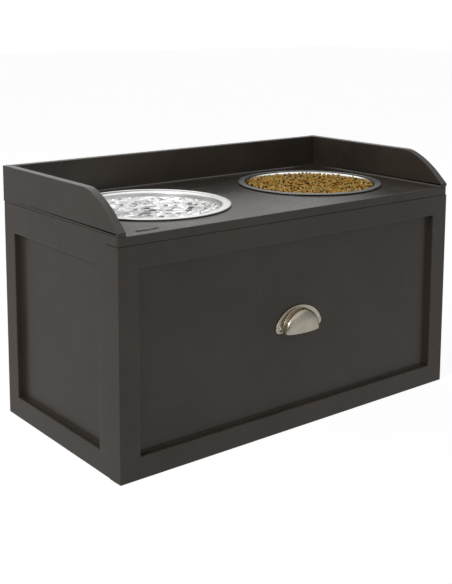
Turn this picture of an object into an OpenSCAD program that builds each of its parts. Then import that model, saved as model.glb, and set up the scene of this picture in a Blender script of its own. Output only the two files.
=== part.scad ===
// Raised feeding station for a dog: a painted cabinet with two lift-out bowls in its top
// board and a full-width drawer on roller runners underneath.
// The origin is the centre of the footprint on the floor, +Z is up and -Y is the front.

/* [Cabinet] */
// Overall width
cabinet_w = 600; // [580:10:900]
// Overall depth, drawer front included
cabinet_d = 300; // [296:2:420]
// Height from the floor to the underside of the top board
body_h = 300; // [270:5:420]
// Thickness of the structural boards
board_t = 16; // [15:1:19]
// How far each cabinet side stands back from the drawer front's end
side_inset = 1; // [0:0.5:3]
// Thickness of the back panel
back_t = 5; // [3:0.5:8]
// Distance from the rear edge of the cabinet to the front of the back panel
back_inset = 20; // [18:1:30]
// Depth of the grooves that hold the back panel
groove_depth = 6; // [4:1:8]
// Height of the front rail under the top board
rail_h = 36; // [34:1:50]

/* [Glued frames] */
// Thickness of the frames on the drawer front and the cabinet sides
frame_t = 9; // [6:0.5:12]
// Width of the drawer front's stiles and rails
frame_w = 30; // [20:1:50]
// Width of the front stile of a side frame
side_front_stile_w = 24; // [18:1:45]
// Width of the back stile of a side frame
side_back_stile_w = 29; // [18:1:45]
// Width of the top and bottom rails of a side frame
side_rail_w = 30; // [20:1:50]
// Width of the small step at the foot of the frame's inner edge
step_w = 1.7; // [1:0.1:3]
// Height of that step
step_t = 1; // [0.5:0.1:2]
// Chamfer on the frame's inner edge
frame_chamfer = 0.8; // [0.3:0.1:2]
// Radius of the frame's outer edge
frame_edge_r = 0.6; // [0.3:0.1:2]

/* [Top and gallery] */
// Thickness of the top board
top_t = 12; // [12:1:18]
// Radius of the top board's corners, seen from above
top_corner_r = 3.5; // [3:0.5:20]
// Radius of the eased edges of the gallery and of the top board's upper face
edge_r = 2; // [0.5:0.1:3]
// Height of the gallery above the top board
gallery_h = 51; // [42:1:80]
// Thickness of the gallery boards
gallery_t = 12; // [12:1:18]
// Height of the upright nose at the front of a gallery side
nose_h = 4.7; // [4:0.1:12]
// Radius over the nose
nose_r = 2; // [1:0.5:4]
// Radius where the gallery side's top edge turns down
shoulder_r = 45; // [20:1:60]
// Angle at which that radius ends
shoulder_angle = 20; // [10:1:25]
// Radius of the long sweep after it
sweep_r = 150; // [100:1:160]
// Slope of the straight run down to the nose
slope_angle = 42; // [30:1:42]

/* [Bowls] */
// Radius of the holes in the top board
bowl_hole_r = 100; // [80:1:102]
// Outer radius of a bowl's rim
bowl_rim_r = 112; // [110:1:114]
// Distance between the two rims
bowl_gap = 76; // [40:1:84]
// Thickness of a bowl's sheet
bowl_t = 1.2; // [0.8:0.1:2]
// Depth of a bowl from its rim to its floor
bowl_depth = 60; // [40:1:80]
// Taper of a bowl's wall
bowl_taper = 10; // [2:1:20]
// Inside radius between a bowl's wall and floor
bowl_corner_r = 24; // [8:1:30]
// Radius of the bend under the rim
bowl_lip_r = 3; // [2:0.5:5]
// Radius of the rolled edge of the rim
bowl_bead_r = 1.3; // [1:0.1:2]
// Space between a bowl's wall and its hole
bowl_play = 1.5; // [1:0.1:4]
// Height of the rolled edge above the top board
bowl_seat_gap = 0.3; // [0:0.1:1]

/* [Drawer] */
// Thickness of the drawer's sides and back
drawer_t = 12; // [12:1:16]
// Thickness of the drawer's bottom
drawer_bottom_t = 4; // [3:0.5:6]
// Height of the drawer's bottom above the lower edge of its sides
drawer_bottom_lift = 10; // [9:1:20]
// Depth of the grooves that hold the drawer's bottom
drawer_groove = 5; // [3:0.5:6]
// Gap between the drawer's sides and the cabinet's bottom panel
drawer_lift = 14; // [8:1:30]
// Gap between the bowls and the top of the drawer box
drawer_headroom = 20; // [10:1:60]
// Gap between the drawer's back and the cabinet's back panel
drawer_back_gap = 15; // [13:1:40]
// Gap between the drawer front and the cabinet's edges
front_gap = 1; // [0.8:0.1:3]
// Gap under and over the drawer front
front_margin = 0.6; // [0.5:0.1:4]

/* [Runners] */
// Space for a runner on each side of the drawer box
runner_space = 12.5; // [12:0.1:14]
// Thickness of the runners' steel
runner_t = 1.2; // [1:0.1:1.5]
// Clear height inside the cabinet member
channel_h = 19; // [19:0.5:24]
// Width of the cabinet member's flanges
channel_w = 10; // [8:0.1:10.5]
// Gap between the cabinet member's front end and the cabinet's edge, and behind it
runner_end_gap = 2; // [1:0.5:10]
// Distance from the cabinet member's front end to its roller
front_roller_inset = 11; // [10:0.5:20]
// Radius of the rollers at the front of the cabinet members
front_roller_r = 7.5; // [6:0.1:7.8]
// Distance from the drawer box's back to the rear rollers
rear_roller_inset = 5; // [4:0.5:12]
// Gap above and below a rear roller in the cabinet member
roller_gap = 0.3; // [0.2:0.05:0.6]
// Width of the rollers
roller_w = 6.5; // [5:0.1:7]
// Radius of the rivets that the rollers turn on
axle_r = 2.5; // [2:0.1:3]
// Radial clearance of a roller on its rivet
axle_play = 0.05; // [0.02:0.01:0.1]

/* [Cup pull] */
// Height of the pull's open edge above the floor
pull_z = 140; // [80:1:200]
// Distance between its screws
pull_pitch = 71; // [66:1:96]
// Height of its screws above the open edge
pull_screw_h = 8; // [7:0.5:10]
// Width of the flange, half an oval
pull_w = 87; // [86:1:120]
// Height of the flange
pull_h = 35; // [34:0.5:45]
// Thickness of the flange
pull_flange_t = 2.5; // [1.5:0.1:4]
// Radius of the flange's lower corners
pull_corner_r = 7; // [4:0.5:9]
// Radius of the cup
cup_r = 31; // [24:0.5:31]
// Depth of the cup, flange included
cup_depth = 18.6; // [16:0.1:30]
// Thickness of the cup's wall
cup_t = 2.2; // [1.8:0.1:3]
// Height of the crease that parts the cup's foot from its dome
crease_h = 7; // [5:0.5:9]
// Depth of that crease
crease_depth = 1; // [0.5:0.1:1.2]
// Squareness of the dome, 2 for an ellipse
dome_power = 2.3; // [2:0.1:4]

/* [Fasteners] */
// Radius of the dowels
dowel_r = 4; // [3:0.5:4]
// Length of the dowels
dowel_l = 30; // [24:1:30]
// Radius of the cabinet's cam locks
cam_r = 7.5; // [7:0.5:7.5]
// Depth of the cabinet's cam locks
cam_h = 12.5; // [12:0.5:13]
// Radius of the drawer's cam locks
drawer_cam_r = 6; // [5.5:0.5:6.5]
// Depth of the drawer's cam locks
drawer_cam_h = 9.5; // [9:0.5:10]
// Distance from a joint to the centre of its cam lock
cam_setback = 24; // [22:1:34]
// Clearance round dowels, cams, bolts and screws in their holes
fit_play = 0.1; // [0.05:0.05:0.2]
// Clearance of a panel in its groove
groove_play = 0.4; // [0.2:0.1:1]

/* [Hidden] */
$fn = 64;
EPS = 0.01;
EASE_STEP = 30;
ARC_STEP = 4;
DOME_STEPS = 24;
OVAL_STEPS = 60;

// Cabinet planes, for the right-hand side where there are two
half_w = cabinet_w / 2;
front_y = -cabinet_d / 2;
back_y = cabinet_d / 2;
field_y = front_y + frame_t;
front_back_y = field_y + board_t;
carcass_y = front_back_y + front_gap;
carcass_d = back_y - carcass_y;
side_out_x = half_w - side_inset;
side_mid_x = side_out_x - frame_t;
side_in_x = side_mid_x - board_t;
side_centre_x = side_in_x + board_t / 2;
panel_y = back_y - back_inset;
panel_play = groove_play / 2;
rail_z = body_h - rail_h;
rail_back_y = carcass_y + board_t;
rail_centre_y = carcass_y + board_t / 2;
top_z = body_h + top_t;
gallery_top_z = top_z + gallery_h;
gallery_in_x = half_w - gallery_t;

// Curve of a gallery side, counted back from its nose
shoulder_drop = shoulder_r * (1 - cos(shoulder_angle));
sweep_drop = sweep_r * (cos(shoulder_angle) - cos(slope_angle));
slope_drop = gallery_h - nose_h - shoulder_drop - sweep_drop;
slope_run = slope_drop / tan(slope_angle);
sweep_run = sweep_r * (sin(slope_angle) - sin(shoulder_angle));
shoulder_run = shoulder_r * sin(shoulder_angle);
curve_y = front_y + slope_run + sweep_run + shoulder_run;

// Bowls
bowl_x = bowl_rim_r + bowl_gap / 2;
bead_z = bowl_seat_gap + bowl_bead_r;
bowl_top_z = bead_z + bowl_t / 2;
lip_x = bowl_hole_r - bowl_play + bowl_lip_r;
lip_z = bowl_top_z - bowl_t - bowl_lip_r;
bowl_floor_z = bowl_top_z - bowl_depth;
corner_z = bowl_floor_z + bowl_corner_r;
corner_x = lip_x + (sin(bowl_taper) * (corner_z - lip_z)
    - (bowl_lip_r + bowl_t + bowl_corner_r)) / cos(bowl_taper);

// Drawer
drawer_out_x = side_in_x - runner_space;
drawer_in_x = drawer_out_x - drawer_t;
drawer_z = board_t + drawer_lift;
drawer_top_z = min(top_z + bowl_floor_z - bowl_t - drawer_headroom, rail_z - drawer_lift);
drawer_back_y = panel_y - drawer_back_gap;
drawer_back_in_y = drawer_back_y - drawer_t;
drawer_bottom_z = drawer_z + drawer_bottom_lift;
drawer_bottom_gap = groove_play / 2;
front_z = front_margin;
front_top_z = body_h - front_margin;

// Runners
runner_y = carcass_y + runner_end_gap;
runner_l = panel_y - runner_end_gap - runner_y;
channel_z = drawer_z + runner_t;
channel_top_z = channel_z + channel_h;
channel_in_x = side_in_x - runner_t;
track_t = runner_t;
track_gap = 0.6;
track_z = channel_top_z - track_gap - track_t;
track_side_gap = 2.5;
track_reach = runner_space - track_side_gap;
track_x = drawer_out_x + runner_t;
front_roller_y = runner_y + front_roller_inset;
front_roller_gap = 0.1;
front_roller_z = track_z - front_roller_gap - front_roller_r;
rear_roller_r = channel_h / 2 - roller_gap;
rear_roller_y = drawer_back_y - rear_roller_inset;
rear_roller_z = channel_z + channel_h / 2;
runner_overhang = 3;
rear_end_y = drawer_back_y + runner_overhang;
roller_side_gap = 0.4;
rivet_head_gap = 0.3;
rivet_head_t = 1;
rivet_head_r = 4;
rivet_l = runner_t + roller_side_gap + roller_w + rivet_head_gap + rivet_head_t;

// Cup pull
pull_y = field_y - pull_flange_t;
crease_half_w = 1.2;
foot_draft = 0.4;

// Fastener sizes and places
screw_r = 1.8;
screw_head_r = 3.4;
pull_screw_l = 16;
gallery_screw_l = 32;
drawer_screw_l = 30;
runner_screw_l = 12;
runner_drawer_screw_l = 9;
bolt_thread_r = 2.5;
bolt_thread_l = 10;
bolt_neck_r = 1.6;
bolt_head_r = 3;
bolt_head_l = 3;
bolt_hole_r = 4;
dowel_in_top = 8;
dowel_in_side = 11;
bumper_r = 4;
bumper_gap = 0.3;
bumper_t = front_gap - bumper_gap;

// How far the fasteners stand back from the edges beside them
bottom_cam_inset = 40;
bottom_dowel_inset = 72;
top_cam_front_inset = 64;
top_cam_back_inset = 50;
top_dowel_front_inset = 30;
top_dowel_back_inset = 18;
rail_dowel_drop = 9;
gallery_screw_inset = 45;
runner_screw_front_inset = 34;
runner_screw_back_inset = 30;
track_screw_inset = 25;
drawer_joint_inset = 42;
bumper_inset = 30;

bottom_cam_y = [carcass_y + bottom_cam_inset, panel_y - bottom_cam_inset];
bottom_dowel_y = [carcass_y + bottom_dowel_inset, panel_y - bottom_dowel_inset];
top_cam_y = [carcass_y + top_cam_front_inset, panel_y - top_cam_back_inset];
top_dowel_y = [carcass_y + top_dowel_front_inset, panel_y - top_dowel_back_inset];
rail_cam_z = body_h - cam_setback;
rail_dowel_z = body_h - rail_dowel_drop;
rail_top_cam_x = [-cabinet_w / 6, cabinet_w / 6];
gallery_side_screw_y = [front_y + gallery_screw_inset, 0, back_y - gallery_screw_inset];
gallery_back_screw_x = [for (k = [-0.4, -0.14, 0.14, 0.4]) cabinet_w * k];
runner_screw_y = [
    runner_y + runner_screw_front_inset,
    runner_y + runner_l / 2,
    runner_y + runner_l - runner_screw_back_inset
];
runner_drawer_screw_y = [
    front_back_y + track_screw_inset,
    (front_back_y + drawer_back_y) / 2,
    drawer_back_y - track_screw_inset
];
drawer_joint_z = [drawer_z + drawer_joint_inset, drawer_top_z - drawer_joint_inset];
bumper_z = [front_z + bumper_inset, front_top_z - bumper_inset];

// Colours
paint = [0.22, 0.20, 0.18];
inside_paint = [0.27, 0.25, 0.23];
steel = [0.80, 0.81, 0.82];
nickel = [0.62, 0.59, 0.53];
zinc = [0.66, 0.66, 0.64];
enamel = [0.90, 0.90, 0.88];
nylon = [0.96, 0.96, 0.94];
beech = [0.78, 0.64, 0.45];
clear_rubber = [0.85, 0.86, 0.84];

// Helpers for placing things

module mirrored() mirror([1, 0, 0]) children();

module both_sides() {
    children();
    mirrored() children();
}

// Stands a drawing up so that its normal points to the front
module facing_front() rotate([90, 0, 0]) children();

// Stands a drawing up so that its normal points to the right
module facing_right() rotate([90, 0, 90]) children();

module rect(x0, y0, x1, y1) translate([x0, y0]) square([x1 - x0, y1 - y0]);

// A plate t thick whose outer face, at z = t, has eased edges
module eased_face(t, r) {
    hull() {
        for (a = [0 : EASE_STEP : 90]) {
            linear_extrude(t - r * (1 - sin(a)))
                offset(delta = -r * (1 - cos(a)))
                    children();
        }
    }
}

// A plate t thick with eased edges on both faces
module eased_board(t, r) {
    hull() {
        for (a = [0 : EASE_STEP : 90]) {
            translate([0, 0, r * (1 - sin(a))])
                linear_extrude(t - 2 * r * (1 - sin(a)))
                    offset(delta = -r * (1 - cos(a)))
                        children();
        }
    }
}

// Points of an arc about c, from angle a0 to a1
function arc(c, r, a0, a1) =
    let (steps = max(2, round(abs(a1 - a0) / ARC_STEP)))
    [for (i = [0 : steps])
        let (a = a0 + (a1 - a0) * i / steps)
        [c[0] + r * cos(a), c[1] + r * sin(a)]];

// Fasteners, each with its axis along z and the hole that takes it

// A countersunk screw, head flush at z = 0; grow makes the hole for it
module screw_body(l, grow) {
    cone_h = screw_head_r - screw_r;
    translate([0, 0, -grow])
        cylinder(h = cone_h + grow, r1 = screw_head_r + 2 * grow, r2 = screw_r + grow);
    cylinder(h = l - 2 * screw_r + grow, r = screw_r + grow);
    translate([0, 0, l - 2 * screw_r + grow - EPS])
        cylinder(h = 2 * screw_r, r1 = screw_r + grow, r2 = screw_r / 4);
}

module screw(l) {
    slot_l = screw_head_r * 1.2;
    slot_w = 0.8;
    slot_depth = 1.2;
    difference() {
        screw_body(l, 0);
        for (a = [45, 135]) {
            rotate([0, 0, a])
                translate([-slot_l / 2, -slot_w / 2, -EPS])
                    cube([slot_l, slot_w, slot_depth]);
        }
    }
}

module screw_hole(l) screw_body(l, fit_play);

// A cam lock, face at z = 0, holding a bolt that comes from +x at the given depth
module cam(r, h, depth) {
    slot_w = 1.4;
    slot_depth = 1.5;
    pocket_r = bolt_head_r + 3 * fit_play;
    neck_r = bolt_neck_r + 3 * fit_play;
    difference() {
        cylinder(h = h - fit_play, r = r - fit_play);
        for (a = [0, 90]) {
            rotate([0, 0, a + 45])
                translate([-r * 0.6, -slot_w / 2, -EPS])
                    cube([r * 1.2, slot_w, slot_depth]);
        }
        translate([-bolt_head_l, 0, depth])
            rotate([0, 90, 0])
                cylinder(h = bolt_head_l * 1.5, r = pocket_r);
        translate([0, 0, depth])
            rotate([0, 90, 0])
                cylinder(h = r, r = neck_r);
    }
}

module cam_hole(r, h) translate([0, 0, -EPS]) cylinder(h = h + EPS, r = r);

// A cam bolt: its thread goes into -z, its head ends at the cam's centre
module cam_bolt(reach, cam_radius) {
    shank_gap = 0.5;
    head_play = 0.3;
    translate([0, 0, -bolt_thread_l])
        cylinder(h = bolt_thread_l, r = bolt_thread_r);
    cylinder(h = reach - cam_radius - shank_gap, r = bolt_head_r);
    cylinder(h = reach, r = bolt_neck_r);
    translate([0, 0, reach - bolt_head_l / 2 + head_play])
        cylinder(h = bolt_head_l - 2 * head_play, r = bolt_head_r);
}

module thread_hole() {
    translate([0, 0, -bolt_thread_l - fit_play])
        cylinder(h = bolt_thread_l + fit_play + EPS, r = bolt_thread_r + fit_play);
}

module bolt_hole(reach) translate([0, 0, -EPS]) cylinder(h = reach, r = bolt_hole_r);

// A dowel that reaches down into -z and up into +z
module dowel(down, up) {
    chamfer = 1;
    r = dowel_r - fit_play;
    translate([0, 0, -down + chamfer])
        cylinder(h = down + up - 2 * chamfer, r = r);
    translate([0, 0, -down])
        cylinder(h = chamfer, r1 = r - chamfer, r2 = r);
    translate([0, 0, up - chamfer])
        cylinder(h = chamfer, r1 = r, r2 = r - chamfer);
}

module dowel_hole(down, up) {
    translate([0, 0, -down - 2 * fit_play])
        cylinder(h = down + up + 4 * fit_play, r = dowel_r);
}

// Places of the fasteners, right-hand side where they are paired

// Joint of the bottom panel and a side, +z pointing into the panel
module at_bottom_joint(ys) {
    for (y = ys) translate([side_in_x, y, board_t / 2]) rotate([0, -90, 0]) children();
}

module at_bottom_cams() {
    for (y = bottom_cam_y) translate([side_in_x - cam_setback, y, 0]) children();
}

// Joint of the front rail and a side, +z pointing into the rail
module at_rail_joint(z) translate([side_in_x, rail_centre_y, z]) rotate([0, -90, 0]) children();

module at_rail_end_cam() {
    translate([side_in_x - cam_setback, rail_back_y, rail_cam_z]) rotate([90, 0, 0]) children();
}

// Joint of the top board and a side, +z pointing down into the side
module at_top_joint(ys) {
    for (y = ys) translate([side_centre_x, y, body_h]) rotate([180, 0, 0]) children();
}

module at_side_cams() {
    for (y = top_cam_y) {
        translate([side_in_x, y, body_h - cam_setback])
            rotate([0, 90, 0])
                rotate([0, 0, 180])
                    children();
    }
}

// Joint of the top board and the front rail, +z pointing down into the rail
module at_rail_top_joint() {
    for (x = rail_top_cam_x) translate([x, rail_centre_y, body_h]) rotate([180, 0, 0]) children();
}

module at_rail_top_cams() {
    for (x = rail_top_cam_x) {
        translate([x, rail_back_y, body_h - cam_setback])
            rotate([90, 0, 0])
                rotate([0, 0, 90])
                    children();
    }
}

module at_gallery_side_screws() {
    for (y = gallery_side_screw_y) translate([half_w - gallery_t / 2, y, body_h]) children();
}

module at_gallery_back_screws() {
    for (x = gallery_back_screw_x) translate([x, back_y - gallery_t / 2, body_h]) children();
}

module at_runner_screws() {
    for (y = runner_screw_y) {
        translate([channel_in_x, y, channel_z + channel_h / 2]) rotate([0, 90, 0]) children();
    }
}

module at_runner_drawer_screws() {
    for (y = runner_drawer_screw_y) {
        translate([track_x, y, drawer_z + drawer_bottom_lift / 2])
            rotate([0, -90, 0])
                children();
    }
}

// Joint of the drawer front and a drawer side, +z pointing back into the side
module at_drawer_joint() {
    for (z = drawer_joint_z) {
        translate([drawer_out_x - drawer_t / 2, front_back_y, z]) rotate([-90, 0, 0]) children();
    }
}

module at_drawer_cams() {
    for (z = drawer_joint_z) {
        translate([drawer_out_x, front_back_y + cam_setback, z])
            rotate([0, -90, 0])
                rotate([0, 0, -90])
                    children();
    }
}

module at_drawer_screws() {
    for (z = drawer_joint_z) {
        translate([drawer_out_x, drawer_back_y - drawer_t / 2, z]) rotate([0, -90, 0]) children();
    }
}

module at_pull_screws() {
    for (x = [-pull_pitch / 2, pull_pitch / 2]) {
        translate([x, pull_y, pull_z + pull_screw_h]) rotate([-90, 0, 0]) children();
    }
}

module at_front_axle() {
    translate([side_in_x, front_roller_y, front_roller_z]) rotate([0, -90, 0]) children();
}

module at_rear_axle() {
    translate([drawer_out_x, rear_roller_y, rear_roller_z]) rotate([0, 90, 0]) children();
}

// The cabinet

module bottom_panel() {
    color(inside_paint)
    difference() {
        translate([-side_in_x, carcass_y, 0])
            cube([2 * side_in_x, carcass_d, board_t]);
        translate([-side_in_x - EPS, panel_y - panel_play, board_t - groove_depth])
            cube([2 * (side_in_x + EPS), back_t + groove_play, groove_depth + EPS]);
        both_sides() {
            at_bottom_cams() cam_hole(cam_r, cam_h);
            at_bottom_joint(bottom_cam_y) bolt_hole(cam_setback);
            at_bottom_joint(bottom_dowel_y) dowel_hole(EPS, dowel_l - dowel_in_side);
        }
    }
}

module side_board() {
    color(inside_paint)
    difference() {
        translate([side_in_x, carcass_y, 0])
            cube([board_t, carcass_d, body_h]);
        translate([side_in_x - EPS, panel_y - panel_play, -EPS])
            cube([groove_depth + EPS, back_t + groove_play, body_h + 2 * EPS]);
        at_bottom_joint(bottom_cam_y) thread_hole();
        at_bottom_joint(bottom_dowel_y) dowel_hole(dowel_in_side, EPS);
        at_rail_joint(rail_cam_z) thread_hole();
        at_rail_joint(rail_dowel_z) dowel_hole(dowel_in_side, EPS);
        at_side_cams() cam_hole(cam_r, cam_h);
        at_top_joint(top_cam_y) bolt_hole(cam_setback);
        at_top_joint(top_dowel_y) dowel_hole(EPS, dowel_l - dowel_in_top);
        at_runner_screws() screw_hole(runner_screw_l);
    }
}

// A frame with a stepped, chamfered opening: its back lies at z = 0
module glued_frame(x0, y0, x1, y1, hx0, hy0, hx1, hy1) {
    difference() {
        eased_face(frame_t, frame_edge_r) rect(x0, y0, x1, y1);
        translate([0, 0, step_t])
            linear_extrude(frame_t) rect(hx0, hy0, hx1, hy1);
        translate([0, 0, -EPS])
            linear_extrude(frame_t)
                rect(hx0 + step_w, hy0 + step_w, hx1 - step_w, hy1 - step_w);
        hull() {
            translate([0, 0, frame_t - frame_chamfer])
                linear_extrude(EPS) rect(hx0, hy0, hx1, hy1);
            translate([0, 0, frame_t])
                linear_extrude(EPS)
                    rect(hx0 - frame_chamfer, hy0 - frame_chamfer,
                        hx1 + frame_chamfer, hy1 + frame_chamfer);
        }
    }
}

module side_frame() {
    color(paint)
    translate([side_mid_x, 0, 0])
        facing_right()
            glued_frame(carcass_y, 0, back_y, body_h,
                carcass_y + side_front_stile_w, side_rail_w,
                back_y - side_back_stile_w, body_h - side_rail_w);
}

module back_panel() {
    reach = groove_depth - groove_play;
    color(inside_paint)
    translate([-side_in_x - reach, panel_y, board_t - reach])
        cube([2 * (side_in_x + reach), back_t, body_h - board_t + 2 * reach]);
}

module front_rail() {
    color(inside_paint)
    difference() {
        translate([-side_in_x, carcass_y, rail_z])
            cube([2 * side_in_x, board_t, rail_h]);
        both_sides() {
            at_rail_end_cam() cam_hole(cam_r, cam_h);
            at_rail_joint(rail_cam_z) bolt_hole(cam_setback);
            at_rail_joint(rail_dowel_z) dowel_hole(EPS, dowel_l - dowel_in_side);
        }
        at_rail_top_cams() cam_hole(cam_r, cam_h);
        at_rail_top_joint() bolt_hole(cam_setback);
    }
}

module top_outline() {
    r = top_corner_r;
    union() {
        rect(-half_w + r, front_y, half_w - r, back_y);
        rect(-half_w, front_y + r, half_w, back_y - r);
        for (x = [-half_w + r, half_w - r]) {
            for (y = [front_y + r, back_y - r]) {
                translate([x, y]) circle(r, $fn = 32);
            }
        }
    }
}

module top_board() {
    color(paint)
    difference() {
        translate([0, 0, body_h])
            eased_face(top_t, edge_r) top_outline();
        for (x = [-bowl_x, bowl_x]) {
            translate([x, 0, body_h - EPS])
                cylinder(h = top_t + 2 * EPS, r = bowl_hole_r, $fn = 128);
            translate([x, 0, top_z - edge_r / 2])
                cylinder(h = edge_r / 2 + EPS, r1 = bowl_hole_r, r2 = bowl_hole_r + edge_r / 2,
                    $fn = 128);
        }
        translate([-side_in_x - groove_depth, panel_y - panel_play, body_h - EPS])
            cube([2 * (side_in_x + groove_depth), back_t + groove_play, groove_depth + EPS]);
        both_sides() {
            at_top_joint(top_cam_y) thread_hole();
            at_top_joint(top_dowel_y) dowel_hole(dowel_in_top, EPS);
            at_gallery_side_screws() screw_hole(gallery_screw_l);
        }
        at_rail_top_joint() thread_hole();
        at_gallery_back_screws() screw_hole(gallery_screw_l);
    }
}

module gallery_back() {
    color(paint)
    difference() {
        translate([0, back_y, 0])
            facing_front()
                eased_board(gallery_t, edge_r)
                    rect(-gallery_in_x, top_z, gallery_in_x, gallery_top_z);
        at_gallery_back_screws() screw_hole(gallery_screw_l);
    }
}

// Side view of a gallery side, with y to the right and z up
module gallery_side_outline() {
    nose_drop = nose_r * tan((90 - slope_angle) / 2);
    nose_c = [front_y + nose_r, top_z + nose_h - nose_drop];
    shoulder_c = [curve_y, gallery_top_z - shoulder_r];
    sweep_c = [
        curve_y - shoulder_run + sweep_r * sin(shoulder_angle),
        gallery_top_z - shoulder_drop - sweep_r * cos(shoulder_angle)
    ];
    polygon(concat(
        [[back_y, top_z], [back_y, gallery_top_z]],
        arc(shoulder_c, shoulder_r, 90, 90 + shoulder_angle),
        arc(sweep_c, sweep_r, 90 + shoulder_angle, 90 + slope_angle),
        arc(nose_c, nose_r, 90 + slope_angle, 180),
        [[front_y, top_z]]
    ));
}

module gallery_side() {
    color(paint)
    difference() {
        translate([gallery_in_x, 0, 0])
            facing_right()
                eased_board(gallery_t, edge_r) gallery_side_outline();
        at_gallery_side_screws() screw_hole(gallery_screw_l);
    }
}

module cabinet_cams() {
    color(zinc) {
        both_sides() {
            at_bottom_cams() cam(cam_r, cam_h, board_t / 2);
            at_rail_end_cam() cam(cam_r, cam_h, board_t / 2);
            at_side_cams() cam(cam_r, cam_h, board_t / 2);
        }
        at_rail_top_cams() cam(cam_r, cam_h, board_t / 2);
    }
}

module cabinet_cam_bolts() {
    color(zinc) {
        both_sides() {
            at_bottom_joint(bottom_cam_y) cam_bolt(cam_setback, cam_r);
            at_rail_joint(rail_cam_z) cam_bolt(cam_setback, cam_r);
            at_top_joint(top_cam_y) cam_bolt(cam_setback, cam_r);
        }
        at_rail_top_joint() cam_bolt(cam_setback, cam_r);
    }
}

module cabinet_dowels() {
    color(beech)
    both_sides() {
        at_bottom_joint(bottom_dowel_y) dowel(dowel_in_side, dowel_l - dowel_in_side);
        at_rail_joint(rail_dowel_z) dowel(dowel_in_side, dowel_l - dowel_in_side);
        at_top_joint(top_dowel_y) dowel(dowel_in_top, dowel_l - dowel_in_top);
    }
}

module gallery_screws() {
    color(zinc) {
        both_sides() at_gallery_side_screws() screw(gallery_screw_l);
        at_gallery_back_screws() screw(gallery_screw_l);
    }
}

// The runners

module runner_cabinet() {
    color(enamel)
    difference() {
        translate([side_in_x - channel_w, runner_y, channel_z - runner_t])
            cube([channel_w, runner_l, channel_h + 2 * runner_t]);
        translate([side_in_x - channel_w - EPS, runner_y - EPS, channel_z])
            cube([channel_w - runner_t + EPS, runner_l + 2 * EPS, channel_h]);
        at_runner_screws() screw_hole(runner_screw_l);
        at_front_axle() rivet_hole();
    }
}

// The track stops before the rear roller, which fills the channel behind it
module runner_drawer() {
    roller_room = 2;
    track_end_y = rear_roller_y - rear_roller_r - roller_room;
    start_y = front_back_y + front_gap;
    color(enamel)
    difference() {
        union() {
            translate([drawer_out_x, start_y, drawer_z - runner_t])
                cube([runner_t, rear_end_y - start_y, track_z + track_t - drawer_z + runner_t]);
            translate([drawer_in_x, start_y, drawer_z - runner_t])
                cube([drawer_t + EPS, drawer_back_y - start_y, runner_t]);
            translate([drawer_out_x, start_y, track_z])
                cube([track_reach, track_end_y - start_y, track_t]);
        }
        at_runner_drawer_screws() screw_hole(runner_drawer_screw_l);
        at_rear_axle() rivet_hole();
    }
}

module rivet_hole() translate([0, 0, -EPS]) cylinder(h = 2 * runner_t, r = axle_r + axle_play);

// A rivet whose tail is flush in the steel at z = 0 and whose head holds the roller
module rivet() {
    cylinder(h = rivet_l, r = axle_r);
    translate([0, 0, rivet_l - rivet_head_t])
        cylinder(h = rivet_head_t, r = rivet_head_r);
}

// A nylon roller with a hub and a shallow hollow in each face
module roller(r) {
    hub_r = 4.2;
    hollow = 1.2;
    tyre_t = 1.8;
    edge = 0.4;
    bore_r = axle_r + axle_play;
    translate([0, 0, runner_t + roller_side_gap])
        rotate_extrude($fn = 96)
            polygon([
                [bore_r, 0], [hub_r, 0], [hub_r, hollow], [r - tyre_t, hollow], [r - tyre_t, 0],
                [r - edge, 0], [r, edge], [r, roller_w - edge], [r - edge, roller_w],
                [r - tyre_t, roller_w], [r - tyre_t, roller_w - hollow],
                [hub_r, roller_w - hollow], [hub_r, roller_w], [bore_r, roller_w]
            ]);
}

module front_roller() color(nylon) at_front_axle() roller(front_roller_r);

module rear_roller() color(nylon) at_rear_axle() roller(rear_roller_r);

module front_roller_rivets() color(zinc) both_sides() at_front_axle() rivet();

module rear_roller_rivets() color(zinc) both_sides() at_rear_axle() rivet();

module runner_cabinet_screws() {
    color(zinc) both_sides() at_runner_screws() screw(runner_screw_l);
}

module runner_drawer_screws() {
    color(zinc) both_sides() at_runner_drawer_screws() screw(runner_drawer_screw_l);
}

// The drawer

module drawer_front_board() {
    color(paint)
    difference() {
        translate([-half_w, field_y, front_z])
            cube([cabinet_w, board_t, front_top_z - front_z]);
        translate([-drawer_in_x - drawer_groove, front_back_y - drawer_groove,
                drawer_bottom_z - drawer_bottom_gap])
            cube([2 * (drawer_in_x + drawer_groove), drawer_groove + EPS,
                drawer_bottom_t + groove_play]);
        both_sides() at_drawer_joint() thread_hole();
        at_pull_screws() screw_hole(pull_screw_l);
    }
}

module drawer_front_frame() {
    color(paint)
    translate([0, field_y, 0])
        facing_front()
            glued_frame(-half_w, front_z, half_w, front_top_z,
                -half_w + frame_w, frame_w, half_w - frame_w, body_h - frame_w);
}

module drawer_side() {
    color(inside_paint)
    difference() {
        translate([drawer_in_x, front_back_y, drawer_z])
            cube([drawer_t, drawer_back_y - front_back_y, drawer_top_z - drawer_z]);
        translate([drawer_in_x - EPS, front_back_y - EPS, drawer_bottom_z - drawer_bottom_gap])
            cube([drawer_groove + EPS, drawer_back_y - front_back_y + 2 * EPS,
                drawer_bottom_t + groove_play]);
        at_drawer_cams() cam_hole(drawer_cam_r, drawer_cam_h);
        at_drawer_joint() bolt_hole(cam_setback);
        at_drawer_screws() screw_hole(drawer_screw_l);
        at_runner_drawer_screws() screw_hole(runner_drawer_screw_l);
    }
}

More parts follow.
